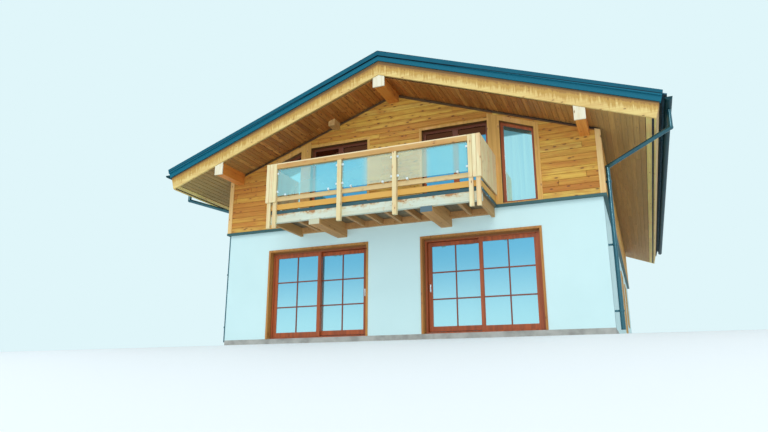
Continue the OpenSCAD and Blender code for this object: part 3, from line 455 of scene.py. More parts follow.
woodLooks = {
    "claddingWood": goldenWood,
    "sideCladdingWood": {**goldenWood, "turn": lengthwise},
    # The wall core is dark brown, partly painted shade for the reveals and the gaps between boards
    "wallCoreWood": {
        "tones": tones((132, 92, 50), (132, 92, 50)), "grain": (104, 68, 34),
        "patch": (110, 66, 30), "knotShare": 0.0, "stainAndShade": shadeJoint},
    "panelWood": {"turn": upright},
    "postWood": {"turn": upright},
    "railWood": {
        "tones": tones((206, 162, 94), (212, 170, 106)), "grain": (176, 126, 66),
        "patch": (192, 118, 56), "stainAndShade": railStain},
    "capWood": {
        "turn": upright, "tones": tones((238, 234, 212), (228, 220, 192)),
        "grain": (206, 190, 150), "patch": (220, 196, 140), "patchShare": 0.35},
    "bargeWood": {
        "tones": tones((232, 206, 132), (226, 198, 122)), "grain": (196, 152, 82),
        "patchShare": 0.3, "patch": (210, 160, 84), "stainAndShade": bargeStainAndShade},
    "casingWood": {
        "turn": upright, "tones": tones((214, 168, 84), (218, 164, 80)),
        "grain": (166, 112, 46)},
    "cornerWood": {
        "turn": upright, "tones": tones((238, 206, 140), (232, 194, 128)),
        "grain": (206, 156, 92)},
    "eaveWood": {
        "turn": lengthwise, "tones": tones((230, 210, 124), (214, 194, 116)),
        "grain": (178, 148, 82)},
    "roofDeckWood": {
        "turn": lengthwise, "tones": tones((206, 172, 108), (190, 156, 98)),
        "grain": (158, 122, 70), "stainAndShade": shadeSlot},
    "beamWood": {
        "turn": lengthwise, "tones": tones((232, 152, 60), (222, 142, 56), (226, 154, 68)),
        "grain": (176, 98, 32), "patch": (204, 108, 36)},
    "stubWood": {
        "turn": lengthwise, "tones": tones((214, 176, 112), (214, 176, 112)),
        "grain": (160, 116, 64), "patch": (176, 126, 70)},
    "cantileverWood": {
        "turn": lengthwise, "tones": tones((206, 156, 94), (196, 144, 84)),
        "grain": (160, 108, 56), "patch": (176, 122, 66)},
    "joistWood": {
        "turn": lengthwise, "tones": tones((204, 158, 100), (188, 140, 84)),
        "grain": (150, 104, 58), "patch": (166, 116, 66)},
    "soffitWood": {
        "turn": lengthwise, "tones": tones((214, 148, 70), (192, 124, 48), (166, 104, 38)),
        "grain": (118, 70, 24), "grainShare": 0.6, "patch": (172, 88, 28),
        "knotsAlong": 4.5, "knotsAcross": 12.0, "knotSize": 0.2, "knot": (72, 40, 16),
        "stainAndShade": soffitStain},
    "edgeWood": {
        "tones": tones((208, 217, 200), (204, 212, 194)), "grain": (182, 188, 166),
        "patch": (206, 196, 156), "patchShare": 0.3, "knotShare": 0.3, "stainAndShade": edgeStain},
    "liningWood": {
        "turn": upright, "tones": tones((196, 138, 66), (186, 128, 60)),
        "grain": (134, 84, 36), "patch": (164, 100, 44)},
    "redWood": redPaint,
    "frameWood": {**redPaint, "stainAndShade": frameRecessShade},
    "upperFrameWood": {**redPaint, "stainAndShade": upperShade},
    "barWood": {
        **redPaint, "tones": tones((134, 70, 52), (134, 70, 52)), "grain": (110, 54, 40)},
    "floorWood": {
        "turn": lengthwise, "tones": tones((134, 120, 92), (112, 104, 82)),
        "grain": (78, 70, 52), "patch": (140, 112, 74)},
}
materials = {name: woodMaterial(name, {**plainWood, **look}) for name, look in woodLooks.items()}


# The front wall is a little lighter below the balcony: painted light that offsets the balcony's shade
balconyPaintedLight = {"colour": (214, 243, 244), "drop": (1.7, 0.7), "inset": 0.3, "soft": 0.8}


def paintedBalconyLight(place, colour):
    look = balconyPaintedLight
    low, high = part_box("balcony_edge_beams")
    near = place.axis(2).ease(*[storeyLine - drop for drop in look["drop"]])
    across = place.axis(0).band(low.x + look["inset"], high.x - look["inset"], look["soft"])
    # Painted light on the wall below the balcony
    return (near * frontHalf(place) * across).mix(colour, look["colour"])


# Mineral surfaces: a soft uneven tone and a fine grit
def mineralMaterial(name, look):
    material, start, place = newMaterial(name)
    cloud = place.noiseAt(*look["cloud"])
    colour = cloud.ease(*look["cloudRange"]).mix(look["pale"], look["dull"])
    if look.get("tint"):
        colour = look["tint"](place, colour)
    finishMaterial(start, {
        "Base Color": colour, "Roughness": look["rough"],
        "Normal": place.noiseAt(*look["grit"]).bump(*look["gritBump"])})
    return material


mineralLooks = {
    "whiteRender": {
        "cloud": (0.5, 3.0, 0.5), "cloudRange": (0.3, 0.75), "pale": (204, 232, 233),
        "dull": (197, 226, 227), "grit": (170.0, 3.0, 0.7), "gritBump": (0.3, 0.002),
        "rough": 0.9, "tint": paintedBalconyLight},
    "concrete": {
        "cloud": (2.5, 5.0, 0.6), "cloudRange": (0.35, 0.7), "pale": (176, 176, 170),
        "dull": (140, 140, 134), "grit": (90.0, 3.0, 0.7), "gritBump": (0.3, 0.003),
        "rough": 0.85},
}


# Coated verge: a dark fold on top, painted shade between the steps, the lower step a brighter blue
vergeTones = {"lower": (18, 104, 126), "lowerShare": 0.8, "lowerSoft": 0.01,
              "foldAndShade": (3, 24, 36), "foldShare": 0.9, "stepShadeHeight": 0.014,
              "stepShadeSoft": 0.004, "topDrop": (0.02, 0.01)}


def vergeTint(place, colour):
    look = vergeTones
    height = aboveSoffit(place)
    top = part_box("verge_trim")[1].z - soffitPeak
    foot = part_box("barge_boards")[1].z - soffitPeak
    middle = (top + foot) / 2
    lower = height.ease(middle - look["lowerSoft"], middle, look["lowerShare"], 0.0)
    colour = lower.mix(colour, look["lower"])
    # Painted shade of the upper step's underside, between the steps
    between = height.band(middle - look["stepShadeHeight"], middle, look["stepShadeSoft"])
    folds = between + height.ease(*[top - drop for drop in look["topDrop"]])
    return (folds * look["foldShare"]).mix(colour, look["foldAndShade"])


# Balcony metal: a pale weathered plate on the left beam end, a blue-grey one on the right
beamPlates = {"left": (200, 198, 168), "right": (84, 108, 118), "soft": 0.1,
              "footSteps": (-0.002, 0.001)}


def balconyTint(place, colour):
    look = beamPlates
    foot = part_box("balcony_edge_beams")[0].z
    onBeam = place.axis(2).ease(*[foot + step for step in look["footSteps"]], 1.0, 0.0)
    left = place.axis(0).ease(-look["soft"], look["soft"], 1.0, 0.0)
    colour = onBeam.mix(colour, look["right"])
    return (onBeam * left).mix(colour, look["left"])


# Coated sheet metal: an even coat, faintly clouded, a little duller where it has weathered
metalWear = {
    "clouds": (1.6, 4.0, 0.6), "cloudRange": (0.45, 0.75), "cloudShare": 0.6,
    "streaks": ((6.0, 6.0, 0.5), 3.0, 0.6), "streakRange": (0.5, 0.8), "streakShare": 0.3,
    "rougher": 0.15, "dents": (3.0, 2.0, 0.5), "dentBump": (0.15, 0.01),
}


def metalMaterial(name, look):
    wear = metalWear
    material, start, place = newMaterial(name)
    clouds = place.noiseAt(*wear["clouds"]).ease(*wear["cloudRange"])
    streaks = place.noise(*wear["streaks"]).ease(*wear["streakRange"])
    worn = clouds * wear["cloudShare"] + streaks * wear["streakShare"]
    colour = worn.mix(look["coat"], look["weathered"])
    if look.get("tint"):
        colour = look["tint"](place, colour)
    finishMaterial(start, {
        "Base Color": colour, "Metallic": look["metallic"],
        "Specular IOR Level": look.get("gloss", 0.5),
        "Roughness": worn.ease(0.0, 1.0, look["rough"], look["rough"] + wear["rougher"]),
        "Normal": place.noiseAt(*wear["dents"]).bump(*wear["dentBump"])})
    return material


metalLooks = {
    "vergeMetal": {"coat": (14, 88, 108), "weathered": (24, 100, 120), "rough": 0.6,
                   "metallic": 0.0, "gloss": 0.15, "tint": vergeTint},
    "roofMetal": {"coat": (32, 84, 104), "weathered": (54, 104, 120), "rough": 0.45,
                  "metallic": 0.3},
    "flashingMetal": {"coat": (48, 88, 90), "weathered": (62, 102, 102),
                      "rough": 0.5, "metallic": 0.2},
    "balconyMetal": {"coat": (40, 78, 86), "weathered": (56, 94, 98),
                     "rough": 0.55, "metallic": 0.15, "tint": balconyTint},
    "dripMetal": {"coat": (12, 26, 32), "weathered": (20, 40, 48), "rough": 0.6,
                  "metallic": 0.0, "gloss": 0.1},
    "gutterMetal": {"coat": (8, 56, 64), "weathered": (16, 70, 78), "rough": 0.5,
                    "metallic": 0.0, "gloss": 0.15},
    "pipeMetal": {"coat": (34, 92, 106), "weathered": (58, 118, 128), "rough": 0.2,
                  "metallic": 0.45, "gloss": 1.0},
    "steel": {"coat": (226, 232, 236), "weathered": (190, 196, 202), "rough": 0.3,
              "metallic": 0.6},
}


# Panes that mirror the sky, with painted reflections in their colour. The terrace panes turn paler
# to their foot, the gable windows have a curtain behind them and a darker band of painted roof
# reflection at their top, and the upper doors are a deeper blue below a dark head of painted
# reflection.
paneLook = {
    "sky": (118, 192, 224), "deepSky": (84, 166, 204), "pale": (190, 236, 244),
    "paleHeights": (0.2, 2.2), "curtain": (190, 236, 240),
    "folds": ((16.0, 16.0, 0.3), 2.0, 0.5), "foldRange": (0.2, 0.8), "foldShares": (0.75, 1.0),
    "roofReflection": (66, 116, 124), "roofDrop": 0.42, "roofShare": 0.8,
    "headReflection": (88, 46, 24), "headDrop": 0.3, "headSoft": 0.04,
    "gableWindow": 1.0, "gableSoft": 0.1, "metallic": 0.85, "rough": 0.04,
    "waves": (0.8, 2.0, 0.5), "waveBump": (0.03, 0.02),
}


def windowGlassMaterial():
    look = paneLook
    material, start, place = newMaterial("windowGlass")
    height = place.axis(2)
    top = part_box("upper_frames")[1].z
    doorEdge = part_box("upper_casings")[1].x - look["gableWindow"]
    doorReach = (doorEdge - look["gableSoft"], doorEdge)
    upperFront = frontHalf(place) * upperStorey(place)
    gable = upperFront * place.axis(0).size().ease(*doorReach)
    doors = upperFront * place.axis(0).size().ease(*doorReach, 1.0, 0.0)
    leftOfGable = frontHalf(place) * place.axis(0).ease(*doorReach, 1.0, 0.0)
    folds = place.noise(*look["folds"]).ease(*look["foldRange"], *look["foldShares"])
    roofLine = top - look["roofDrop"]
    headLine = top - look["headDrop"]
    underRoof = height.ease(roofLine, roofLine + look["headSoft"]) * look["roofShare"]
    atHead = height.ease(headLine, headLine + look["headSoft"])
    # Painted reflections of sky, roof and eaves; the curtain is the gable windows' own
    colour = height.ease(*look["paleHeights"], 1.0, 0.0).mix(look["sky"], look["pale"])
    colour = doors.mix(colour, look["deepSky"])
    colour = (gable * folds).mix(colour, look["curtain"])
    colour = (gable * underRoof).mix(colour, look["roofReflection"])
    colour = (leftOfGable * atHead).mix(colour, look["headReflection"])
    finishMaterial(start, {
        "Base Color": colour, "Metallic": look["metallic"], "Roughness": look["rough"],
        "Normal": place.noiseAt(*look["waves"]).bump(*look["waveBump"])})
    return material


# Clear balcony panes with a thin veil, beige near the middle and blue to both ends: painted
# reflection
railGlassLook = {
    "beige": ((222, 236, 206), (212, 238, 216)), "middle": (0.0, 1.15), "soft": 0.25,
    "blue": ((162, 232, 234), (144, 230, 242)), "rough": 0.08, "bending": 1.5,
    "veil": ((0.7, 0.7, 0.9), 2.0, 0.5), "veilRange": (0.3, 0.7), "thick": 0.38, "thin": 0.28,
}


def railGlassMaterial():
    look = railGlassLook
    material, start, place = newMaterial("railGlass")
    veil = place.noise(*look["veil"]).ease(*look["veilRange"])
    # The beige middle and blue ends of the veil are painted reflection
    middle = place.axis(0).band(*look["middle"], look["soft"])
    finishMaterial(start, {
        "Base Color": middle.mix(veil.mix(*look["blue"]), veil.mix(*look["beige"])),
        "Roughness": look["rough"], "IOR": look["bending"],
        "Alpha": veil.ease(0.0, 1.0, look["thick"], look["thin"])})
    return material


materials.update({name: mineralMaterial(name, look) for name, look in mineralLooks.items()})
materials["windowGlass"] = windowGlassMaterial()
materials["railGlass"] = railGlassMaterial()
materials.update({name: metalMaterial(name, look) for name, look in metalLooks.items()})
print("materials made:", len(materials))

# Frame nodes that keep their own mesh
finishes = {
    "concrete": ["ground_slab"],
    "whiteRender": ["front_wall_left", "front_wall_middle", "front_wall_right",
                    "front_wall_lintel", "left_wall", "right_wall", "rear_wall"],
    "floorWood": ["upper_floor"],
    "wallCoreWood": ["front_gable_wall", "rear_gable_wall", "left_upper_wall",
                     "right_upper_wall"],
    "roofMetal": ["roof_metal_left", "roof_metal_right", "ridge_cap"],
    "flashingMetal": ["storey_flashing"],
    "vergeMetal": ["verge_trim"],
    "dripMetal": ["eave_flashing"],
    "balconyMetal": ["balcony_metal"],
    "gutterMetal": ["gutter_left", "gutter_right"],
    "pipeMetal": ["downpipe_left", "downpipe_right"],
    "roofDeckWood": ["roof_left", "roof_right"],
    "windowGlass": ["fixed_leaf_glass", "left_sliding_glass", "right_sliding_glass",
                    "window_glass"],
    "railGlass": ["balcony_glass"],
}
for finish, names in finishes.items():
    for name in names:
        mesh = nodes[name].data
        mesh.materials.clear()
        mesh.materials.append(materials[finish])
print("finishes set")

rng = np.random.default_rng(20)


def placePiece(name, mesh, finish, body):
    mesh.materials.clear()
    mesh.materials.append(materials[finish])
    piece = bpy.data.objects.new(name, mesh)
    scene.collection.objects.link(piece)
    if body:
        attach(piece, body)
    return piece


# A mesh object from arrays of corners and faces, with a random number for each board
def addPiece(name, corners, faces, finish, body, board=None):
    mesh = bpy.data.meshes.new(name)
    mesh.from_pydata(corners.reshape(-1, 3).tolist(), [], faces.tolist())
    mesh.update()
    if board is not None:
        mark = mesh.attributes.new("board", "FLOAT", "FACE")
        mark.data.foreach_set("value", board.astype(np.float32))
    return placePiece(name, mesh, finish, body)


# Several sets of corners, faces and board numbers as one
def joinSets(sets):
    offsets = np.cumsum([0] + [len(part[0]) for part in sets[:-1]])
    corners = np.concatenate([part[0] for part in sets])
    faces = np.concatenate([part[1] + offset for part, offset in zip(sets, offsets)])
    return corners, faces, np.concatenate([part[2] for part in sets])


# A frame node's solids with their loose triangles merged, and the faces of each solid. The
# layer for board numbers comes before the faces are grouped, because adding it moves them.
def mergedSolids(node, near=0.0001, flatterThan=0.5):
    solid = bmesh.new()
    solid.from_mesh(nodes[node].data)
    bmesh.ops.remove_doubles(solid, verts=solid.verts, dist=near)
    bmesh.ops.dissolve_limit(
        solid, angle_limit=math.radians(flatterThan), verts=solid.verts, edges=solid.edges)
    solid.faces.layers.float.new("board")
    groups = []
    known = set()
    for face in solid.faces:
        if face in known:
            continue
        known.add(face)
        group = [face]
        for member in group:
            for edge in member.edges:
                for other in edge.link_faces:
                    if other not in known:
                        known.add(other)
                        group.append(other)
        groups.append(group)
    return solid, groups


# Timber and fittings with eased edges in place of a frame node. Each finish names its nodes
# with the width of their edges, and each solid gets a tone and grain of its own.
easedEdges = {"steps": 2, "sharperThan": 35.0}
softTimber = {
    "bargeWood": {"barge_boards": 0.006},
    "capWood": {"purlin_caps": 0.004},
    "beamWood": {"ridge_purlin": 0.008, "eave_purlins": 0.008},
    "stubWood": {"short_purlin": 0.02},
    "cantileverWood": {"cantilever_beams": 0.008},
    "joistWood": {"balcony_joists": 0.005},
    "edgeWood": {"balcony_edge_beams": 0.006},
    "railWood": {"balcony_rails": 0.006},
    "postWood": {"balcony_posts": 0.005},
    "cornerWood": {"corner_boards": 0.003},
    "casingWood": {"upper_casings": 0.003, "window_casings": 0.003},
    "liningWood": {"door_linings": 0.003},
    "eaveWood": {"eave_boards": 0.003},
    "frameWood": {"left_door_frame": 0.004, "right_door_frame": 0.004},
    "upperFrameWood": {"upper_frames": 0.004},
    "redWood": {"left_fixed_leaf": 0.004, "right_fixed_leaf": 0.004, "left_sliding_leaf": 0.004,
                "right_sliding_leaf": 0.004, "window_frames": 0.004, "entrance_door": 0.003},
    "steel": {"left_door_handle": 0.002, "right_door_handle": 0.002, "glass_clips": 0.002},
}


def makeSoftTimber():
    for finish, widths in softTimber.items():
        for node, width in widths.items():
            solid, groups = mergedSolids(node)
            mark = solid.faces.layers.float["board"]
            for group in groups:
                number = rng.random()
                for face in group:
                    face[mark] = number
            mesh = bpy.data.meshes.new(node + "_eased")
            solid.to_mesh(mesh)
            solid.free()
            piece = placePiece(node + "_eased", mesh, finish, bodyOf[node])
            ease = piece.modifiers.new("ease", "BEVEL")
            ease.width = width
            ease.segments = easedEdges["steps"]
            ease.limit_method = "ANGLE"
            ease.angle_limit = math.radians(easedEdges["sharperThan"])
            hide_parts(node)


makeSoftTimber()
print("timber eased")

# Floor: level under and behind the house, falling away in front of it as a smooth step
floorShape = {"reach": 150.0, "edgeBefore": 0.35, "fall": 3.4, "run": 6.0, "steps": 48,
              "colour": (232, 238, 240), "rough": 0.9}


def makeFloor():
    shape = floorShape
    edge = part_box("ground_slab")[0].y - shape["edgeBefore"]
    share = np.linspace(0, 1, shape["steps"])
    slopeY = edge - shape["run"] * share
    slopeZ = -shape["fall"] * share * share * (3 - 2 * share)
    y = np.concatenate([[shape["reach"]], slopeY, [-shape["reach"]]])
    z = np.concatenate([[0.0], slopeZ, [-shape["fall"]]])
    x = np.array([-shape["reach"], shape["reach"]])
    corners = np.stack([np.repeat(x, len(y)), np.tile(y, 2), np.tile(z, 2)], axis=1)
    first = np.arange(len(y) - 1)
    faces = np.stack([first, first + 1, first + 1 + len(y), first + len(y)], axis=1)
    material, start = newMaterial("floorPaint")[:2]
    finishMaterial(start, {"Base Color": shape["colour"], "Roughness": shape["rough"]})
    materials["floorPaint"] = material
    addPiece("floor", corners, faces, "floorPaint", body=None)


makeFloor()

# The sky lights the house softly, and the camera, gloss and glass see it in a pale colour
skyLook = {"lightColour": (0.82, 0.9, 0.95, 1.0), "lightStrength": 0.9,
           "seenColour": (224, 246, 250), "seenStrength": 1.0}


def makeSky():
    look = skyLook
    world = bpy.data.worlds.new("world")
    scene.world = world
    world.use_nodes = True
    world.node_tree.nodes.clear()
    sky = Wire(world.node_tree)
    seen, glossy, through = [
        sky.node("ShaderNodeLightPath", {}, {}, out=f"Is {kind} Ray")
        for kind in ("Camera", "Glossy", "Transmission")]
    ambient, pale = [
        sky.node("ShaderNodeBackground", {}, {
            "Color": look[use + "Colour"], "Strength": look[use + "Strength"]})
        for use in ("light", "seen")]
    direct = seen.most(glossy).most(through)
    either = sky.node("ShaderNodeMixShader", {}, {0: direct, 1: ambient, 2: pale})
    sky.node("ShaderNodeOutputWorld", {}, {"Surface": either})


makeSky()

# A wide soft sun, and a narrow one without a shadow that gives gloss its highlights
lampLooks = {
    "sun": {"strength": 0.8, "spread": 35.0, "tilt": 48.0, "turn": 12.0, "shadow": True},
    "sheen": {"strength": 0.45, "spread": 3.0, "tilt": 72.0, "turn": 16.0, "shadow": False},
}


def makeLamps():
    for name, look in lampLooks.items():
        light = bpy.data.lights.new(name, "SUN")
        light.energy = look["strength"]
        light.angle = math.radians(look["spread"])
        light.use_shadow = look["shadow"]
        lamp = bpy.data.objects.new(name, light)
        lamp.rotation_euler = (math.radians(look["tilt"]), 0, math.radians(look["turn"]))
        scene.collection.objects.link(lamp)


makeLamps()
print("stage and light set")


# Blocks side by side, such as boards: each has two ends along, two edges across and two
# depths. Four corners lie at the back, four near the front and four set in by the chamfer.
def boardBlocks(along, across, depth, chamfer, axes, origin):
    count = len(along)
    u = along[:, [0, 1, 1, 0]]
    v = across[:, [0, 0, 1, 1]]
    cutU = u + chamfer * np.array([1, -1, -1, 1])
    cutV = v + chamfer * np.array([1, 1, -1, -1])
    ringU = np.stack([u, u, cutU], axis=1)
    ringV = np.stack([v, v, cutV], axis=1)
    levels = np.stack([depth[:, 0], depth[:, 1] - chamfer, depth[:, 1]], axis=1)
    ringW = np.broadcast_to(levels[:, :, None], ringU.shape)
    local = np.stack([ringU, ringV, ringW], axis=-1).reshape(-1, 3)
    corners = local @ np.array(axes, float) + np.array(origin, float)
    turn = np.arange(4)
    after = (turn + 1) % 4
    walls = [np.stack([ring + turn, ring + after, ring + 4 + after, ring + 4 + turn], axis=1)
             for ring in (0, 4)]
    block = np.concatenate([[[3, 2, 1, 0]], *walls, [[8, 9, 10, 11]]])
    firstCorners = np.arange(count)[:, None, None] * (ringU.shape[1] * ringU.shape[2])
    faces = (firstCorners + block).reshape(-1, 4)
    return corners, faces, np.repeat(rng.random(count), len(block))


# Sideways, upwards and outwards for an upright face that looks outwards
def faceAxes(outwards):
    return [np.cross((0, 0, 1), outwards), np.array((0, 0, 1)), np.array(outwards)]


# Rows of boards between two ends, each row cut to uneven lengths
def boardRows(span, edges, gap, lengths, shortest=0.02):
    rows = len(edges) - 1
    most = math.ceil((span[1] - span[0]) / lengths[0]) + 2
    long = rng.uniform(lengths[0], lengths[1], (rows, most))
    ends = span[0] - rng.uniform(0, lengths[0], (rows, 1)) + np.cumsum(long, axis=1)
    starts = np.clip(ends - long, *span) + gap / 2
    ends = np.clip(ends, *span) - gap / 2
    low = np.broadcast_to(edges[:-1, None] + gap / 2, ends.shape)
    high = np.broadcast_to(edges[1:, None] - gap / 2, ends.shape)
    real = ends - starts > shortest
    along = np.stack([starts[real], ends[real]], axis=1)
    across = np.stack([low[real], high[real]], axis=1)
    return along, across


def sameDepth(count, back, front):
    return np.tile([[back, front]], (count, 1))


# Evenly spaced edges that fill a height or width with whole boards
def evenEdges(low, high, pitch):
    return np.linspace(low, high, max(1, round((high - low) / pitch)) + 1)


# Upright boards that fill a width between two heights
def uprightBoards(ends, heights, depth, look, axes, origin):
    edges = evenEdges(*ends, look["pitch"])
    along = np.stack([edges[:-1] + look["gap"] / 2, edges[1:] - look["gap"] / 2], axis=1)
    across = np.tile([heights], (len(along), 1))
    return boardBlocks(along, across, sameDepth(len(along), *depth), look["chamfer"], axes, origin)


# A closed copy of a frame node's solid, moved by an offset
def solidCopy(node, offset):
    solid = mergedSolids(node)[0]
    mesh = bpy.data.meshes.new(node + "Copy")
    solid.to_mesh(mesh)
    solid.free()
    mesh.transform(Matrix.Translation(offset))
    copy = bpy.data.objects.new(node + "Copy", mesh)
    scene.collection.objects.link(copy)
    return copy


# Keeps only the part of a piece that lies inside a solid, and removes the solid
def keepInside(piece, solid):
    cut = piece.modifiers.new("cut", "BOOLEAN")
    cut.operation = "INTERSECT"
    cut.solver = "EXACT"
    cut.object = solid
    graph = bpy.context.evaluated_depsgraph_get()
    mesh = bpy.data.meshes.new_from_object(piece.evaluated_get(graph))
    piece.modifiers.clear()
    piece.data = mesh
    bpy.data.objects.remove(solid)


# Horizontal cladding on the four upper walls, cut to each wall's own outline and openings
cladding = {"pitch": 0.132, "gap": 0.004, "thick": 0.012, "chamfer": 0.006,
            "lengths": (2.2, 4.8), "wallShift": 0.017}


def makeCladding():
    look = cladding
    walls = {
        "front_cladding": ("front_gable_wall", (0, -1, 0), "claddingWood"),
        "rear_cladding": ("rear_gable_wall", (0, 1, 0), "claddingWood"),
        "right_cladding": ("right_upper_wall", (1, 0, 0), "sideCladdingWood"),
        "left_cladding": ("left_upper_wall", (-1, 0, 0), "sideCladdingWood"),
    }
    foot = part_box("storey_flashing")[1].z
    for name, (wall, outwards, finish) in walls.items():
        low, high = (np.array(v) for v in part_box(wall))
        axes = faceAxes(outwards)
        ends = sorted([low @ axes[0], high @ axes[0]])
        face = max(low @ axes[2], high @ axes[2])
        edges = foot + look["pitch"] * np.arange(math.ceil((high[2] - foot) / look["pitch"]) + 1)
        along, across = boardRows(ends, edges, look["gap"], look["lengths"])
        depth = sameDepth(len(along), 0.0, look["thick"])
        corners, faces, board = boardBlocks(
            along, across, depth, look["chamfer"], axes, face * axes[2])
        piece = addPiece(name, corners, faces, finish, "house", board)
        keepInside(piece, solidCopy(wall, Vector(axes[2] * look["wallShift"])))


makeCladding()
print("cladding made")

# Boards under the roof, laid along the house on both slopes
soffit = {"pitch": 0.118, "gap": 0.004, "thick": 0.008, "chamfer": 0.005,
          "lengths": (2.8, 5.0), "airGap": 0.001}


def makeSoffit():
    look = soffit
    roofLow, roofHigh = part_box("roof_right")
    innerEdge = min(place for place in nodeLevels("eave_boards", 0) if place > 0)
    edges = evenEdges(look["gap"], innerEdge / math.cos(roofPitch) - look["gap"], look["pitch"])
    for side, name in ((1, "soffit_boards_right"), (-1, "soffit_boards_left")):
        downhill = (math.cos(roofPitch) * side, 0, -math.sin(roofPitch))
        down = (-side * math.sin(roofPitch), 0, -math.cos(roofPitch))
        along, across = boardRows((roofLow.y, roofHigh.y), edges, look["gap"], look["lengths"])
        depth = sameDepth(len(along), look["airGap"], look["thick"])
        corners, faces, board = boardBlocks(
            along, across, depth, look["chamfer"], [(0, side, 0), downhill, down],
            (0, 0, soffitPeak))
        addPiece(name, corners, faces, "soffitWood", "house", board)


makeSoffit()
print("soffit made")

# Bars on both faces of the ground storey's panes: columns and rows of panes in each leaf or
# window. The upright bars stand a little prouder where they cross the level ones.
bars = {"width": 0.03, "proud": 0.015, "sink": 0.001, "crossing": 0.001, "chamfer": 0.004}
barPlans = {
    "fixed_leaf_glass": (2, 3), "left_sliding_glass": (2, 3), "right_sliding_glass": (2, 3),
    "window_glass": (2, 2),
}


def paneBars(low, high, columns, rows):
    look = bars
    thin = int((high[:2] - low[:2]).argmin())
    half = look["width"] / 2
    sets = []
    for side in (-1, 1):
        outwards = np.zeros(3)
        outwards[thin] = side
        axes = faceAxes(outwards)
        ends = sorted([low @ axes[0], high @ axes[0]])
        posts = np.linspace(*ends, columns + 1)[1:-1]
        levels = np.linspace(low[2], high[2], rows + 1)[1:-1]
        along = np.concatenate([np.stack([posts - half, posts + half], axis=1),
                                np.tile([ends], (len(levels), 1))])
        across = np.concatenate([np.tile([[low[2], high[2]]], (len(posts), 1)),
                                 np.stack([levels - half, levels + half], axis=1)])
        face = max(low @ axes[2], high @ axes[2])
        depth = sameDepth(len(along), face - look["sink"], face - look["sink"] + look["proud"])
        depth[:len(posts), 1] += look["crossing"]
        sets.append(boardBlocks(along, across, depth, look["chamfer"], axes, (0, 0, 0)))
    return sets


def makeBars():
    for node, (columns, rows) in barPlans.items():
        solid, groups = mergedSolids(node)
        sets = []
        for group in groups:
            places = np.array([vert.co for face in group for vert in face.verts])
            low, high = places.min(axis=0), places.max(axis=0)
            if high[2] < storeyLine:
                sets += paneBars(low, high, columns, rows)
        solid.free()
        corners, faces, board = joinSets(sets)
        addPiece(node.replace("glass", "bars"), corners, faces, "barWood", bodyOf[node],
                 board)


makeBars()
print("window bars made")

# Upright boards of the balcony's corners and sides, in place of the plain panels
panelBoards = {"pitch": 0.09, "gap": 0.004, "chamfer": 0.005}


def makePanelBoards():
    low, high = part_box("balcony_panels")
    levels = nodeLevels("balcony_panels", 0)
    thick = levels[1] - levels[0]
    heights = [low.z, high.z]
    front = low.y + thick
    sets = []
    for ends in ((levels[0], levels[2]), (levels[3], levels[5])):
        sets.append(uprightBoards(ends, heights, (0, thick), panelBoards, faceAxes((0, -1, 0)),
                                  (0, front, 0)))
    for side, outer in ((-1, low.x), (1, high.x)):
        axes = faceAxes((side, 0, 0))
        ends = sorted([front * side, high.y * side])
        sets.append(uprightBoards(ends, heights, (0, thick), panelBoards, axes,
                                  (outer - side * thick, 0, 0)))
    corners, faces, board = joinSets(sets)
    piece = addPiece("balcony_panel_boards", corners, faces, "panelWood", "house",
                     board)
    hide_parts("balcony_panels")


makePanelBoards()

# Floor boards of the balcony, laid along the front, in place of the plain floor
deckBoards = {"pitch": 0.142, "gap": 0.006, "chamfer": 0.004, "lengths": (2.5, 4.0)}


def makeDeckBoards():
    look = deckBoards
    low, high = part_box("balcony_floor")
    edges = evenEdges(low.y, high.y, look["pitch"])
    along, across = boardRows((low.x, high.x), edges, look["gap"], look["lengths"])
    corners, faces, board = boardBlocks(
        along, across, sameDepth(len(along), low.z, high.z), look["chamfer"],
        [(1, 0, 0), (0, 1, 0), (0, 0, 1)], (0, 0, 0))
    piece = addPiece("balcony_floor_boards", corners, faces, "floorWood", "house",
                     board)
    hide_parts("balcony_floor")


makeDeckBoards()
print("balcony boards made")


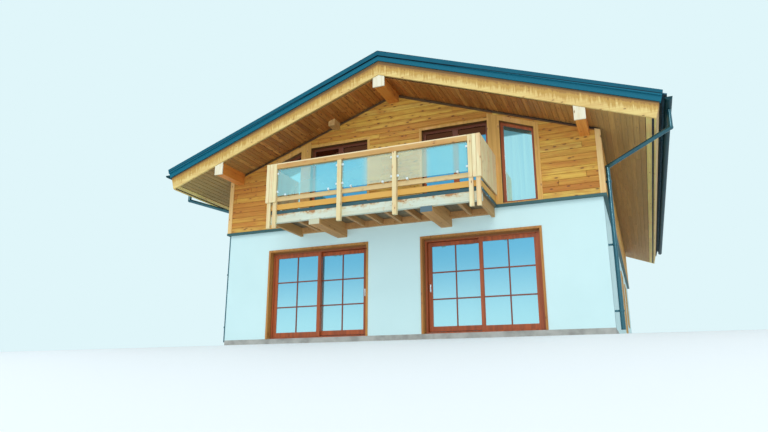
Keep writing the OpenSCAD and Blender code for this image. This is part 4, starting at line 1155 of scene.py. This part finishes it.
# A round bar carried along a path: a circle at each point, square to the way the path
# runs there, with a flat cap at both ends
def tubeAlong(path, radius, sides):
    path = np.array(path, float)
    way = np.gradient(path, axis=0)
    way /= np.linalg.norm(way, axis=1, keepdims=True)
    across = np.cross(way, (0, 0, 1))
    across /= np.linalg.norm(across, axis=1, keepdims=True)
    over = np.cross(across, way)
    angle = np.linspace(0, 2 * math.pi, sides, endpoint=False)[None, :, None]
    rings = path[:, None] + radius * (np.cos(angle) * across[:, None] + np.sin(angle) * over[:, None])
    turn = np.arange(sides)
    after = (turn + 1) % sides
    first = (np.arange(len(path) - 1) * sides)[:, None]
    walls = np.stack([first + turn, first + sides + turn, first + sides + after, first + after],
                     axis=-1).reshape(-1, 4)
    last = (len(path) - 1) * sides
    caps = [list(range(sides)), list(range(last + sides - 1, last - 1, -1))]
    return rings.reshape(-1, 3), walls.tolist() + caps


# Upright boards and a lever handle on the outer face of the side entrance
entrance = {"pitch": 0.12, "gap": 0.003, "chamfer": 0.003, "thick": 0.014, "margin": 0.002,
            "leverHeight": 1.02, "leverIn": 0.09, "leverRadius": 0.009, "leverOut": 0.05,
            "leverLong": 0.12, "leverSides": 12, "bend": 0.02, "bendSteps": 6,
            "roseRadius": 0.026, "roseOut": 0.008, "roseSides": 24}


def makeEntrance():
    look = entrance
    low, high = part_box("entrance_door")
    boards = uprightBoards(
        (low.y + look["margin"], high.y - look["margin"]),
        [low.z + look["margin"], high.z - look["margin"]], (0, look["thick"]), look,
        faceAxes((1, 0, 0)), (high.x, 0, 0))
    addPiece("entrance_boards", boards[0], boards[1], "redWood", "house", boards[2])
    face = high.x + look["thick"]
    height = low.z + look["leverHeight"]
    turn = np.linspace(0, quarter, look["bendSteps"])
    out = face + look["leverOut"] - look["bend"] * (1 - np.sin(turn))
    side = low.y + look["leverIn"] + look["bend"] * (1 - np.cos(turn))
    path = [(face, side[0], height)] + [(a, b, height) for a, b in zip(out, side)]
    path.append((out[-1], side[0] + look["leverLong"], height))
    rose = [(face, side[0], height), (face + look["roseOut"], side[0], height)]
    for name, route in (("lever", path), ("rose", rose)):
        corners, faces = tubeAlong(route, look[name + "Radius"], look[name + "Sides"])
        mesh = bpy.data.meshes.new("entrance_" + name)
        mesh.from_pydata(corners.tolist(), [], faces)
        placePiece("entrance_" + name, mesh, "steel", "house")


makeEntrance()
print("entrance made")
